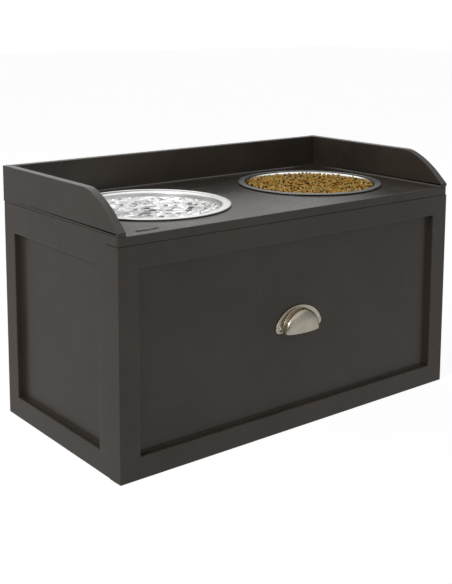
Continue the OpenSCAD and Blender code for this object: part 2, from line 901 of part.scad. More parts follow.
module drawer_back() {
    color(inside_paint)
    difference() {
        translate([-drawer_in_x, drawer_back_in_y, drawer_z])
            cube([2 * drawer_in_x, drawer_t, drawer_top_z - drawer_z]);
        translate([-drawer_in_x - EPS, drawer_back_in_y - EPS, drawer_bottom_z - drawer_bottom_gap])
            cube([2 * (drawer_in_x + EPS), drawer_groove + EPS, drawer_bottom_t + groove_play]);
        both_sides() at_drawer_screws() screw_hole(drawer_screw_l);
    }
}

module drawer_bottom() {
    reach = drawer_groove - groove_play;
    color(inside_paint)
    translate([-drawer_in_x - reach, front_back_y - reach, drawer_bottom_z])
        cube([2 * (drawer_in_x + reach), drawer_back_in_y - front_back_y + 2 * reach,
            drawer_bottom_t]);
}

module drawer_cams() {
    color(zinc) both_sides() at_drawer_cams() cam(drawer_cam_r, drawer_cam_h, drawer_t / 2);
}

module drawer_cam_bolts() {
    color(zinc) both_sides() at_drawer_joint() cam_bolt(cam_setback, drawer_cam_r);
}

module drawer_screws() color(zinc) both_sides() at_drawer_screws() screw(drawer_screw_l);

module drawer_bumpers() {
    edge = 0.3;
    color(clear_rubber)
    both_sides() {
        for (z = bumper_z) {
            translate([side_centre_x, front_back_y, z])
                rotate([-90, 0, 0]) {
                    cylinder(h = bumper_t - edge, r = bumper_r);
                    translate([0, 0, bumper_t - edge])
                        cylinder(h = edge, r1 = bumper_r, r2 = bumper_r - edge);
                }
        }
    }
}

// The cup pull

// Half an oval with rounded lower corners
module pull_outline() {
    r = pull_corner_r;
    start = asin(r / pull_h);
    corner_x = pull_w / 2 * cos(start) - r;
    union() {
        polygon([for (i = [0 : OVAL_STEPS])
            let (a = start + (180 - 2 * start) * i / OVAL_STEPS)
            [pull_w / 2 * cos(a), pull_h * sin(a)]]);
        rect(-corner_x, 0, corner_x, r + EPS);
        for (x = [-corner_x, corner_x]) translate([x, r]) circle(r);
    }
}

// Points of a dome's profile, from its widest ring to its middle
function dome(r, h0, h1) =
    let (power = 2 / dome_power)
    [for (i = [0 : DOME_STEPS])
        let (a = 90 * i / DOME_STEPS)
        [r * pow(cos(a), power), h0 + (h1 - h0) * pow(sin(a), power)]];

// Half section of the cup: foot, crease and dome
module cup_section() {
    dome_h = crease_h + crease_half_w;
    polygon(concat(
        [
            [0, 0], [cup_r, 0], [cup_r, pull_flange_t], [cup_r - foot_draft, crease_h - crease_half_w],
            [cup_r - crease_depth, crease_h]
        ],
        dome(cup_r, dome_h, cup_depth)
    ));
}

module hollow_section() {
    r = cup_r - cup_t;
    polygon(concat([[0, 0], [r, 0]], dome(r, crease_h, cup_depth - cup_t)));
}

module upper_half(r, h) {
    translate([-r, 0, -EPS]) cube([2 * r, r, h]);
}

module cup_pull() {
    room = 2 * cup_depth;
    color(nickel)
    difference() {
        translate([0, field_y, pull_z])
            facing_front()
                difference() {
                    union() {
                        linear_extrude(pull_flange_t) pull_outline();
                        intersection() {
                            rotate_extrude($fn = 128) cup_section();
                            upper_half(cup_r, room);
                        }
                    }
                    translate([0, 0, -EPS])
                        rotate_extrude($fn = 128) hollow_section();
                }
        at_pull_screws() screw_hole(pull_screw_l);
    }
}

module pull_screws() color(zinc) at_pull_screws() screw(pull_screw_l);

// The bowls

// Half section of the pressed sheet: flange, bend, tapered wall, round corner and floor
module bowl_section() {
    bend = 180 - bowl_taper;
    top_skin = concat(
        arc([lip_x, lip_z], bowl_lip_r + bowl_t, 90, bend),
        arc([corner_x, corner_z], bowl_corner_r, -bowl_taper, -90)
    );
    under_skin = concat(
        arc([corner_x, corner_z], bowl_corner_r + bowl_t, -90, -bowl_taper),
        arc([lip_x, lip_z], bowl_lip_r, bend, 90)
    );
    union() {
        polygon(concat(
            [[bowl_rim_r - bowl_bead_r, bowl_top_z]],
            top_skin,
            [[0, bowl_floor_z], [0, bowl_floor_z - bowl_t]],
            under_skin,
            [[bowl_rim_r - bowl_bead_r, bowl_top_z - bowl_t]]
        ));
        translate([bowl_rim_r - bowl_bead_r, bead_z]) circle(bowl_bead_r, $fn = 32);
    }
}

module bowl() {
    color(steel)
    translate([bowl_x, 0, top_z])
        rotate_extrude($fn = 128) bowl_section();
}

bottom_panel();
mirrored() side_board();  // side_board_left
side_board();  // side_board_right
mirrored() side_frame();  // side_frame_left
side_frame();  // side_frame_right
back_panel();
front_rail();
top_board();
gallery_back();
mirrored() gallery_side();  // gallery_side_left
gallery_side();  // gallery_side_right
cabinet_cams();
cabinet_cam_bolts();
cabinet_dowels();
gallery_screws();
mirrored() runner_cabinet();  // runner_cabinet_left
runner_cabinet();  // runner_cabinet_right
runner_cabinet_screws();
front_roller_rivets();
mirrored() front_roller();  // front_roller_left
front_roller();  // front_roller_right
drawer_front_board();
drawer_front_frame();
mirrored() drawer_side();  // drawer_side_left
drawer_side();  // drawer_side_right
drawer_back();
drawer_bottom();
drawer_cams();
drawer_cam_bolts();
drawer_screws();
drawer_bumpers();
mirrored() runner_drawer();  // runner_drawer_left
runner_drawer();  // runner_drawer_right
runner_drawer_screws();
rear_roller_rivets();
mirrored() rear_roller();  // rear_roller_left
rear_roller();  // rear_roller_right
cup_pull();
pull_screws();
mirrored() bowl();  // bowl_left
bowl();  // bowl_right
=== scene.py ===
"""Looks of a raised feeding station for a dog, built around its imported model.

A painted cabinet with a curved gallery carries two lift-out steel bowls and a drawer on roller
runners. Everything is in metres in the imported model's frame: the origin is the centre of the
footprint on the floor, +Z is up and -Y is the front.
"""

import logging
import math
import random
from collections.abc import Callable, Sequence
from dataclasses import dataclass
from enum import Enum

import bmesh
import bpy
from mathutils import Matrix, Vector, geometry


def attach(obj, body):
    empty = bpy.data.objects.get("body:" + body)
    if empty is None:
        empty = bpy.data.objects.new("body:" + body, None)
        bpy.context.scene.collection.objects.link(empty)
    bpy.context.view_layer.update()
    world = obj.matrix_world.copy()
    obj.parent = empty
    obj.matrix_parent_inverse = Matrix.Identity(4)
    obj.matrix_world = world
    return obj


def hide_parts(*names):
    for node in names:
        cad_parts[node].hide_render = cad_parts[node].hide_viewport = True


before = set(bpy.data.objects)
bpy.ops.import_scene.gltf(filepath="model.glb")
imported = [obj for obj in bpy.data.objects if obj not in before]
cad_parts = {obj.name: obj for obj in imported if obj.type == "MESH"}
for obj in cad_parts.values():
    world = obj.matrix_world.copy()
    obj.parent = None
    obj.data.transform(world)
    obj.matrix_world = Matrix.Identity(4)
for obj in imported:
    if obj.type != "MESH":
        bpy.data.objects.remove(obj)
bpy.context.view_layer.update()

WHITE = (1.0, 1.0, 1.0, 1.0)
BLACK = (0.0, 0.0, 0.0, 1.0)
SIDES = ("left", "right")
log = logging.getLogger("feeding_station")

Point2 = tuple[float, float]
Point3 = tuple[float, float, float]
Colour = tuple[float, float, float]
Rgba = tuple[float, float, float, float]
Socket = bpy.types.NodeSocket
Sockets = dict[str, Socket]
Value = float | Sequence[float] | Socket
Mesh = bmesh.types.BMesh
Rows = Sequence[Sequence[bmesh.types.BMVert]]


# Node trees


class Graph:
    """Short calls that add nodes to one node tree and join them."""

    def __init__(self, tree: bpy.types.NodeTree) -> None:
        """Takes the tree to build in."""
        self.tree = tree

    def node(self, kind: str, inputs: dict[str | int, Value] | None = None,
             **settings: object) -> bpy.types.Node:
        """Adds a node.

        Args:
            kind: The node's type name.
            inputs: A constant or a socket for each named or numbered input.
            settings: Properties of the node.

        Returns:
            The new node.
        """
        made = self.tree.nodes.new(kind)
        for name, value in settings.items():
            setattr(made, name, value)
        self.fill(made.inputs, inputs or {})
        return made

    def fill(self, sockets: bpy.types.NodeInputs, values: dict[str | int, Value]) -> None:
        """Links a socket to each input, or writes a constant into it.

        Args:
            sockets: The inputs of a node.
            values: What goes into the named or numbered ones.
        """
        for name, value in values.items():
            if isinstance(value, bpy.types.NodeSocket):
                self.tree.links.new(value, sockets[name])
            else:
                sockets[name].default_value = value

    def math(self, operation: str, *values: Value, clamp: bool = False) -> Socket:
        """Adds a Math node and returns its result."""
        return self.node("ShaderNodeMath", dict(enumerate(values)), operation=operation,
                         use_clamp=clamp).outputs[0]

    def plus(self, first: Value, second: Value) -> Socket:
        """Adds two values and returns the result."""
        return self.math("ADD", first, second)

    def times(self, first: Value, second: Value, clamp: bool = False) -> Socket:
        """Multiplies two values and returns the result."""
        return self.math("MULTIPLY", first, second, clamp=clamp)

    def per(self, size: Value) -> Socket:
        """Returns the scale of a texture whose features have that size."""
        return self.math("DIVIDE", 1.0, size)

    def blend(self, first: Socket, second: Socket, share: float) -> Socket:
        """Adds a share of one value and the rest of another, and returns the result."""
        return self.plus(self.times(first, share), self.times(second, 1.0 - share))

    def vector_math(self, operation: str, *values: Value, output: str = "Vector") -> Socket:
        """Adds a Vector Math node and returns the named result."""
        return self.node("ShaderNodeVectorMath", dict(enumerate(values)),
                         operation=operation).outputs[output]

    def axis(self, vector: Socket, name: str) -> Socket:
        """Returns one axis of a vector."""
        return self.node("ShaderNodeSeparateXYZ", {0: vector}).outputs[name]

    def spread(self, value: Value, low: float, high: float, to_low: Value = 0.0,
               to_high: Value = 1.0) -> Socket:
        """Maps low..high smoothly onto to_low..to_high and returns the result."""
        return self.node("ShaderNodeMapRange", {
            "Value": value, "From Min": low, "From Max": high, "To Min": to_low,
            "To Max": to_high}, interpolation_type="SMOOTHSTEP").outputs["Result"]

    def noise(self, place: Socket, scale: Value, detail: float = 2.0,
              roughness: float = 0.5) -> Socket:
        """Adds a Noise Texture at a place and returns its value."""
        return self.node("ShaderNodeTexNoise", {
            "Vector": place, "Scale": scale, "Detail": detail,
            "Roughness": roughness}).outputs["Fac"]

    def mix(self, factor: Value, first: Value, second: Value) -> Socket:
        """Mixes two colours and returns the result."""
        return self.node("ShaderNodeMix", {0: factor, 6: first, 7: second},
                         data_type="RGBA").outputs[2]

    def object_place(self) -> Socket:
        """Returns the place on the piece, in its own metres."""
        return self.node("ShaderNodeTexCoord").outputs["Object"]

    def normal(self) -> Socket:
        """Returns the way the surface looks."""
        return self.node("ShaderNodeNewGeometry").outputs["Normal"]

    def attribute(self, name: str) -> Socket:
        """Returns the value of a mesh attribute."""
        return self.node("ShaderNodeAttribute", attribute_name=name).outputs["Fac"]

    def bump(self, height: Value, distance: float) -> Socket:
        """Turns a height from 0 to 1 into a normal; distance is its full depth in metres."""
        return self.node("ShaderNodeBump", {"Height": height, "Strength": 1.0,
                                            "Distance": distance}).outputs["Normal"]


def rgba(colour: Colour) -> Rgba:
    """Returns a colour with full alpha."""
    return (*colour, 1.0)


class Effect:
    """A shared shader node group with named inputs and outputs, built once."""

    def __init__(self, name: str, inputs: dict[str, float | tuple], outputs: Sequence[str],
                 wire: Callable[[Graph, Sockets], Sockets]) -> None:
        """Builds the group.

        Args:
            name: The group's name.
            inputs: Its named inputs with their first values.
            outputs: Its named outputs.
            wire: Fills the group and returns a socket for each output.
        """
        self.tree = bpy.data.node_groups.new(name, "ShaderNodeTree")
        for label, value in inputs.items():
            kind = "NodeSocketVector" if isinstance(value, tuple) else "NodeSocketFloat"
            made = self.tree.interface.new_socket(label, in_out="INPUT", socket_type=kind)
            made.default_value = value
        for label in outputs:
            self.tree.interface.new_socket(label, in_out="OUTPUT", socket_type="NodeSocketFloat")
        graph = Graph(self.tree)
        source = graph.node("NodeGroupInput").outputs
        results = wire(graph, {label: source[label] for label in inputs})
        graph.node("NodeGroupOutput", {label: results[label] for label in outputs})

    def place(self, graph: Graph, **values: Value) -> bpy.types.NodeOutputs:
        """Places the group in a material.

        Args:
            graph: The material's tree.
            values: A value for each input, with underscores for the spaces in its name.

        Returns:
            The group's outputs.
        """
        inputs = {label.replace("_", " "): value for label, value in values.items()}
        return graph.node("ShaderNodeGroup", inputs, node_tree=self.tree).outputs


def wire_uneven_coat(graph: Graph, given: Sockets) -> Sockets:
    """Slow cloudy change over a surface, from two sizes of noise.

    Args:
        graph: The group's tree.
        given: Size of the clouds.

    Returns:
        Cloud, from 0 to 1.
    """
    place, scale = graph.object_place(), graph.per(given["Size"])
    broad = graph.noise(place, scale, detail=1.0, roughness=0.4)
    close = graph.noise(place, graph.times(scale, 5.3), detail=2.0, roughness=0.6)
    return {"Cloud": graph.spread(graph.blend(broad, close, share=0.65), low=0.34, high=0.66)}


def wire_fine_grain(graph: Graph, given: Sockets) -> Sockets:
    """Fine stipple of a rolled or sprayed coat.

    Args:
        graph: The group's tree.
        given: Size of the grains.

    Returns:
        Height of the stipple, and Speck where a grain stands out.
    """
    place, scale = graph.object_place(), graph.per(given["Size"])
    coarse = graph.noise(place, scale, detail=1.0)
    fine = graph.noise(place, graph.times(scale, 2.7), detail=1.0)
    return {"Height": graph.blend(coarse, fine, share=0.7),
            "Speck": graph.spread(fine, low=0.56, high=0.70)}


def wire_rubbed_edges(graph: Graph, given: Sockets) -> Sockets:
    """Patchy rubbing of the exposed edges.

    Args:
        graph: The group's tree.
        given: Exposure of the surface, Patch Size, and Reach, which is 0.5 for usual wear.

    Returns:
        Mask of what is worn; with a strong lightening it also carries a painted highlight.
    """
    patch = graph.noise(graph.object_place(), graph.per(given["Patch Size"]), detail=4.0,
                        roughness=0.65)
    reach = graph.plus(patch, graph.math("SUBTRACT", given["Reach"], 0.5))
    exposed = graph.math("POWER", given["Exposure"], 2.0)
    return {"Mask": graph.times(graph.spread(reach, low=0.42, high=0.66), exposed, clamp=True)}


def wire_settled_dust(graph: Graph, given: Sockets) -> Sockets:
    """A trace of dust on faces that look up, in soft drifts.

    Args:
        graph: The group's tree.
        given: Amount of dust and Drift Size.

    Returns:
        Mask of the dust.
    """
    upward = graph.axis(graph.normal(), "Z")
    drift = graph.noise(graph.object_place(), graph.per(given["Drift Size"]), detail=5.0,
                        roughness=0.6)
    level = graph.times(graph.spread(upward, low=0.55, high=0.98),
                        graph.spread(drift, low=0.35, high=0.75, to_low=0.25))
    return {"Mask": graph.times(level, given["Amount"], clamp=True)}


def wire_hairlines(graph: Graph, given: Sockets) -> Sockets:
    """Fine parallel lines: noise that is long along one axis and narrow along the others.

    Args:
        graph: The group's tree.
        given: Place on the piece, and Lines Per Metre along each axis.

    Returns:
        Height of the lines, and Mask where they are strong.
    """
    stretched = graph.vector_math("MULTIPLY", given["Place"], given["Lines Per Metre"])
    first = graph.noise(stretched, 1.0, detail=2.0, roughness=0.7)
    finer = graph.vector_math("MULTIPLY", stretched, (2.3, 2.3, 2.3))
    both = graph.blend(first, graph.noise(finer, 1.0, detail=1.0), share=0.6)
    return {"Height": both, "Mask": graph.spread(both, low=0.52, high=0.70)}


def wire_finger_marks(graph: Graph, given: Sockets) -> Sockets:
    """Faint smears where hands touch.

    Args:
        graph: The group's tree.
        given: Size of the smears and their Amount.

    Returns:
        Mask of the smears.
    """
    place = graph.vector_math("MULTIPLY", graph.object_place(), (1.0, 1.0, 0.6))
    smear = graph.noise(place, graph.per(given["Size"]), detail=3.0, roughness=0.55)
    return {"Mask": graph.times(graph.spread(smear, low=0.5, high=0.72), given["Amount"],
                                clamp=True)}


def wire_focused_light(graph: Graph, given: Sockets) -> Sockets:
    """Painted light: the net of bright lines that waves throw on what lies under the water, with
    painted shade between them.

    Args:
        graph: The group's tree.
        given: Cell Size of the net and Line Width as a share of a cell.

    Returns:
        Lines of light with their halo, and Shade for the dark patches between them.
    """
    place = graph.object_place()
    drift = graph.node("ShaderNodeTexNoise", {"Vector": place, "Scale": 38.0, "Detail": 2.0})
    away = graph.vector_math("SUBTRACT", drift.outputs["Color"], (0.5, 0.5, 0.5))
    moved = graph.node("ShaderNodeVectorMath", {"Vector": away, "Scale": given["Cell Size"]},
                       operation="SCALE").outputs[0]
    bent = graph.vector_math("ADD", place, moved)
    from_edge = graph.node("ShaderNodeTexVoronoi", {
        "Vector": bent, "Scale": graph.per(given["Cell Size"])},
        feature="DISTANCE_TO_EDGE").outputs["Distance"]
    uneven = graph.noise(place, 45.0, detail=1.0)
    width = graph.times(given["Line Width"],
                        graph.spread(uneven, low=0.3, high=0.7, to_low=0.3, to_high=2.0))
    near = graph.math("SUBTRACT", 1.0, graph.math("DIVIDE", from_edge, width), clamp=True)
    bright = graph.times(near, graph.spread(uneven, low=0.35, high=0.6, to_low=0.15))
    halo = graph.spread(from_edge, low=0.0, high=0.42, to_low=0.15, to_high=0.02)
    patch = graph.noise(graph.vector_math("MULTIPLY", bent, (1.0, 2.2, 1.0)), 46.0, detail=3.0,
                        roughness=0.6)
    return {"Lines": graph.plus(bright, halo), "Shade": graph.spread(patch, low=0.505, high=0.58)}


UNEVEN_COAT = Effect("uneven_coat", {"Size": 0.1}, ["Cloud"], wire_uneven_coat)
FINE_GRAIN = Effect("fine_grain", {"Size": 0.002}, ["Height", "Speck"], wire_fine_grain)
RUBBED_EDGES = Effect("rubbed_edges", {"Exposure": 0.0, "Patch Size": 0.02, "Reach": 0.5},
                      ["Mask"], wire_rubbed_edges)
SETTLED_DUST = Effect("settled_dust", {"Amount": 0.1, "Drift Size": 0.05}, ["Mask"],
                      wire_settled_dust)
HAIRLINES = Effect("hairlines", {"Place": (0.0, 0.0, 0.0), "Lines Per Metre": (100.0,) * 3},
                   ["Height", "Mask"], wire_hairlines)
FINGER_MARKS = Effect("finger_marks", {"Size": 0.03, "Amount": 0.5}, ["Mask"], wire_finger_marks)
FOCUSED_LIGHT = Effect("focused_light", {"Cell Size": 0.03, "Line Width": 0.05},
                       ["Lines", "Shade"], wire_focused_light)


# Finishes


@dataclass(frozen=True)
class Finish:
    """What every finish shares: a name, the record's slot, and plain shader values."""

    name: str
    slot: str
    roughness: float = 0.5
    colour: Colour = (0.5, 0.5, 0.5)
    lightest: float = 0.95

    def shade(self, factor: float) -> Rgba:
        """Returns the colour made lighter or darker by a factor, but kept below white."""
        return rgba(tuple(min(c * factor, self.lightest) for c in self.colour))

    def rough(self, graph: Graph, mask: Value, less: float, more: float) -> Socket:
        """Returns the roughness, less where a mask is 0 and more where it is 1."""
        return graph.spread(mask, 0.0, 1.0, self.roughness - less, self.roughness + more)

    def material(self) -> bpy.types.Material:
        """Builds the material the first time it is asked for, and returns it."""
        found = bpy.data.materials.get(self.name)
        if found is not None:
            return found
        made = bpy.data.materials.new(self.name)
        made.use_nodes = True
        shader = made.node_tree.nodes["Principled BSDF"].inputs
        shader["Roughness"].default_value = self.roughness
        graph = Graph(made.node_tree)
        graph.fill(shader, self.wire(graph))
        return made

    def wire(self, graph: Graph) -> dict[str, Value]:
        """Returns what goes into the shader. Each kind of finish does this in its own way."""
        raise NotImplementedError


@dataclass(frozen=True)
class Paint(Finish):
    """Sprayed semi-gloss paint on board: cloudy tone, stipple, lighter worn edges, a trace of dust;
    a strong edge lightening is a painted highlight.
    """

    colour: Colour = (0.064, 0.051, 0.041)
    wear_and_highlight: float = 1.55
    rub_size: float = 0.018
    grain: float = 0.0024
    grain_depth: float = 0.000008
    cloud: float = 0.13
    cloud_size: float = 0.16
    dust: float = 0.02
    drift_size: float = 0.045
    dust_colour: Colour = (0.32, 0.30, 0.27)
    specular: float = 0.5

    def wire(self, graph: Graph) -> dict[str, Value]:
        """Colour from cloud, rub and dust; roughness from cloud and specks; stipple as bump.

        Args:
            graph: The material's tree.

        Returns:
            What goes into the shader.
        """
        cloud = UNEVEN_COAT.place(graph, Size=self.cloud_size)["Cloud"]
        grain = FINE_GRAIN.place(graph, Size=self.grain)
        rub = RUBBED_EDGES.place(graph, Exposure=graph.attribute("rub"),
                                 Patch_Size=self.rub_size, Reach=0.5)["Mask"]
        dust = SETTLED_DUST.place(graph, Amount=self.dust, Drift_Size=self.drift_size)["Mask"]
        coat = graph.mix(cloud, self.shade(1 - self.cloud), self.shade(1 + self.cloud))
        # Worn edges are lightened; on the badge the strong lightening is partly wear, partly a
        # painted highlight.
        coat = graph.mix(rub, coat, self.shade(self.wear_and_highlight))
        rough = graph.plus(self.rough(graph, cloud, less=0.03, more=0.04), graph.times(rub, 0.06))
        rough = graph.plus(rough, graph.times(dust, 0.4))
        return {"Base Color": graph.mix(dust, coat, rgba(self.dust_colour)),
                "Roughness": graph.plus(rough, graph.times(grain["Speck"], 0.03)),
                "Specular IOR Level": self.specular,
                "Normal": graph.bump(grain["Height"], self.grain_depth)}


@dataclass(frozen=True)
class PolishedSteel(Finish):
    """Spun stainless steel: rings of polishing marks, smears, and a flange with its own colour and
    roughness; a dark flange colour is painted shade.

    Below the water the inside also carries the net of focused light, painted as a glow, and its
    dark patches of painted shade.
    """

    flange_colour: Colour = (0.80, 0.80, 0.79)
    flange_start: float = 0.1015
    flange_haze: float = 0.0
    centre_x: float = 0.0
    ring_pitch: float = 0.0009
    ring_depth: float = 0.000004
    ring_colour: Colour = (0.30, 0.30, 0.29)
    caustic_glow: float = 0.0
    water_level: float = 0.3056
    dark_colour: Colour = (0.07, 0.07, 0.07)

    def wire(self, graph: Graph) -> dict[str, Value]:
        """Hairlines laid along radius and height; smears and the flange change the roughness.

        Args:
            graph: The material's tree.

        Returns:
            What goes into the shader.
        """
        place = graph.vector_math("SUBTRACT", graph.object_place(), (self.centre_x, 0.0, 0.0))
        axes = graph.node("ShaderNodeSeparateXYZ", {0: place}).outputs
        radius = graph.math("SQRT", graph.plus(graph.math("POWER", axes["X"], 2.0),
                                               graph.math("POWER", axes["Y"], 2.0)))
        turn = graph.times(graph.math("ARCTAN2", axes["Y"], axes["X"]), 0.02)
        polar = graph.node("ShaderNodeCombineXYZ", {"X": radius, "Y": turn, "Z": axes["Z"]})
        lines = 1.0 / self.ring_pitch
        rings = HAIRLINES.place(graph, Place=polar.outputs[0],
                                Lines_Per_Metre=(lines, lines * 0.04, lines))
        marks = FINGER_MARKS.place(graph, Size=0.035, Amount=1.0)["Mask"]
        flange = graph.spread(radius, self.flange_start, self.flange_start + 0.001)
        # A dark flange colour is painted shade, standing for the dark gallery that the flange
        # reflects.
        tone = graph.mix(flange, rgba(self.colour), rgba(self.flange_colour))
        tone = graph.mix(graph.times(rings["Mask"], 0.12), tone, rgba(self.ring_colour))
        lined = graph.spread(rings["Height"], low=0.3, high=0.7, to_low=self.roughness * 0.75,
                             to_high=self.roughness * 1.3)
        rough = graph.plus(lined, graph.times(marks, 0.05))
        dressed = {"Metallic": 1.0, "Base Color": tone,
                   "Roughness": graph.plus(rough, graph.times(flange, self.flange_haze)),
                   "Normal": graph.bump(rings["Height"], self.ring_depth)}
        if self.caustic_glow:
            dressed |= self.under_water(graph, place, axes, radius, tone)
        return dressed

    def under_water(self, graph: Graph, place: Socket, axes: bpy.types.NodeOutputs,
                    radius: Socket, tone: Socket) -> dict[str, Value]:
        """Paints focused light as a glow, and dark patches as painted shade, on the inside of the
        bowl below the water.

        Args:
            graph: The material's tree.
            place: The place from the bowl's axis.
            axes: Its three axes.
            radius: The distance from the bowl's axis.
            tone: The steel's colour above the water.

        Returns:
            What goes into the shader.
        """
        net = FOCUSED_LIGHT.place(graph, Cell_Size=0.026, Line_Width=0.035)
        normal = graph.normal()
        outward = graph.vector_math("MULTIPLY", place, (1.0, 1.0, 0.0))
        facing_out = graph.vector_math("DOT_PRODUCT", normal, outward, output="Value")
        facing_up = graph.times(graph.axis(normal, "Z"), radius)
        wet = graph.times(graph.math("GREATER_THAN", facing_up, facing_out),
                          graph.math("LESS_THAN", axes["Z"], self.water_level))
        right = graph.spread(axes["X"], low=-0.05, high=0.02, to_low=0.15)
        # Painted shade darkens the steel's colour in patches; painted light glows as emission along
        # the lines.
        dark = graph.times(net["Shade"], graph.times(wet, right))
        return {"Base Color": graph.mix(dark, tone, rgba(self.dark_colour)),
                "Emission Color": graph.mix(graph.times(net["Lines"], wet), BLACK, WHITE),
                "Emission Strength": self.caustic_glow}


@dataclass(frozen=True)
class PlatedMetal(Finish):
    """Plated or nickelled metal with fine hairlines, mottled by handling.

    With a recess given, the plating there and on what looks up is darkened towards brown: painted
    shade, not tarnish.
    """

    lines: Point3 = (260.0, 260.0, 2600.0)
    line_depth: float = 0.000003
    mottle: float = 0.08
    recess: Point2 | None = None
    painted_shade_colour: Colour = (0.20, 0.15, 0.10)

    def wire(self, graph: Graph) -> dict[str, Value]:
        """Cloudy tone, smears that dull it, painted shade in the recess and on upward faces, and
        hairlines as bump.

        Args:
            graph: The material's tree.

        Returns:
            What goes into the shader.
        """
        cloud = UNEVEN_COAT.place(graph, Size=0.02)["Cloud"]
        marks = FINGER_MARKS.place(graph, Size=0.012, Amount=1.0)["Mask"]
        hair = HAIRLINES.place(graph, Place=graph.object_place(), Lines_Per_Metre=self.lines)
        tone = graph.mix(cloud, self.shade(1 - self.mottle), self.shade(1 + self.mottle))
        tone = graph.mix(graph.times(hair["Mask"], 0.35), tone, self.shade(0.8))
        rough = graph.plus(self.rough(graph, cloud, less=0.04, more=0.04),
                           graph.times(marks, 0.09))
        if self.recess is not None:
            # Painted shade: the recess and the faces that look up are darkened towards brown, to
            # dim what they reflect.
            sunk = self.recess_mask(graph)
            upward = graph.axis(graph.normal(), "Z")
            painted_shade = graph.math("MAXIMUM", graph.times(sunk, 0.9),
                              graph.spread(upward, low=0.25, high=0.75, to_high=0.75))
            tone = graph.mix(painted_shade, tone, rgba(self.painted_shade_colour))
            rough = graph.plus(rough, graph.times(sunk, 0.25))
        return {"Metallic": 1.0, "Base Color": tone, "Roughness": rough,
                "Normal": graph.bump(hair["Height"], self.line_depth)}

    def recess_mask(self, graph: Graph) -> Socket:
        """Returns a mask of the recess, a band between two places along the y axis."""
        start, end = self.recess
        front = graph.axis(graph.object_place(), "Y")
        return graph.times(graph.spread(front, end - 0.0003, end + 0.0003),
                           graph.spread(front, start - 0.0006, start + 0.0002, 1.0, 0.0))


@dataclass(frozen=True)
class PowderCoat(Finish):
    """Baked enamel on runner steel, with grey scuffs along the track."""

    colour: Colour = (0.80, 0.80, 0.78)
    scuff_lines: Point3 = (500.0, 14.0, 500.0)
    scuff_colour: Colour = (0.34, 0.34, 0.34)
    peel_depth: float = 0.00003

    def wire(self, graph: Graph) -> dict[str, Value]:
        """Scuffs run along the travel; the coat has an orange-peel bump.

        Args:
            graph: The material's tree.

        Returns:
            What goes into the shader.
        """
        scuffs = HAIRLINES.place(graph, Place=graph.object_place(),
                                 Lines_Per_Metre=self.scuff_lines)["Mask"]
        cloud = UNEVEN_COAT.place(graph, Size=0.03)["Cloud"]
        tone = graph.mix(cloud, self.shade(0.94), rgba(self.colour))
        peel = FINE_GRAIN.place(graph, Size=0.0012)["Height"]
        return {"Base Color": graph.mix(graph.times(scuffs, 0.45), tone, rgba(self.scuff_colour)),
                "Roughness": self.rough(graph, scuffs, less=0.0, more=0.18),
                "Normal": graph.bump(peel, self.peel_depth)}


@dataclass(frozen=True)
class MouldedPlastic(Finish):
    """Moulded nylon or clear rubber: faint cloud, fine mould texture, some light through it."""

    colour: Colour = (0.86, 0.86, 0.83)
    inner_light: float = 0.15
    light_reach: Point3 = (0.002, 0.002, 0.0018)
    texture_depth: float = 0.00001

    def wire(self, graph: Graph) -> dict[str, Value]:
        """Cloudy tone with a little grime, and a fine bump.

        Args:
            graph: The material's tree.

        Returns:
            What goes into the shader.
        """
        cloud = UNEVEN_COAT.place(graph, Size=0.008)["Cloud"]
        texture = FINE_GRAIN.place(graph, Size=0.0005)["Height"]
        return {"Base Color": graph.mix(cloud, self.shade(0.88), rgba(self.colour)),
                "Roughness": self.rough(graph, cloud, less=-0.05, more=-0.05),
                "Subsurface Weight": self.inner_light, "Subsurface Radius": self.light_reach,
                "Normal": graph.bump(texture, self.texture_depth)}


@dataclass(frozen=True)
class BareWood(Finish):
    """Turned beech dowel with grain along its length."""

    colour: Colour = (0.60, 0.44, 0.27)
    grain_lines: Point3 = (160.0, 2400.0, 160.0)
    pore_lines: Point3 = (700.0, 5200.0, 700.0)
    grain_depth: float = 0.00006

    def wire(self, graph: Graph) -> dict[str, Value]:
        """Grain streaks and short dark pores.

        Args:
            graph: The material's tree.

        Returns:
            What goes into the shader.
        """
        grain, pores = (HAIRLINES.place(graph, Place=graph.object_place(), Lines_Per_Metre=lines)
                        for lines in (self.grain_lines, self.pore_lines))
        tone = graph.mix(grain["Height"], self.shade(0.7), self.shade(1.25))
        return {"Base Color": graph.mix(graph.times(pores["Mask"], 0.5), tone, self.shade(0.5)),
                "Normal": graph.bump(grain["Height"], self.grain_depth)}


@dataclass(frozen=True)
class DryFood(Finish):
    """Baked pellets: a tint of its own for each, a crumbly skin, and painted shade in its dents."""

    dark: Colour = (0.030, 0.011, 0.001)
    colour: Colour = (0.90, 0.44, 0.045)
    pale: Colour = (1.0, 0.78, 0.28)
    middle: float = 0.45
    crumb_depth: float = 0.0005

    def wire(self, graph: Graph) -> dict[str, Value]:
        """Mixes dark, middle and pale crust by each pellet's tint and by noise.

        Args:
            graph: The material's tree.

        Returns:
            What goes into the shader.
        """
        crust = graph.noise(graph.object_place(), 900.0, detail=4.0, roughness=0.65)
        # Painted shade: the crust is darker where its bump is low.
        dent_shade = graph.spread(crust, low=0.3, high=0.7, to_low=0.60, to_high=1.45)
        level = graph.times(graph.attribute("tint"), dent_shade)
        ramp = graph.node("ShaderNodeValToRGB", {"Fac": level})
        stops = ramp.color_ramp.elements
        stops[0].color, stops[1].color = rgba(self.dark), rgba(self.pale)
        stops.new(self.middle).color = rgba(self.colour)
        return {"Base Color": ramp.outputs["Color"],
                "Roughness": graph.spread(crust, 0.3, 0.7, self.roughness + 0.12,
                                          self.roughness - 0.1),
                "Specular IOR Level": 0.25, "Normal": graph.bump(crust, self.crumb_depth)}


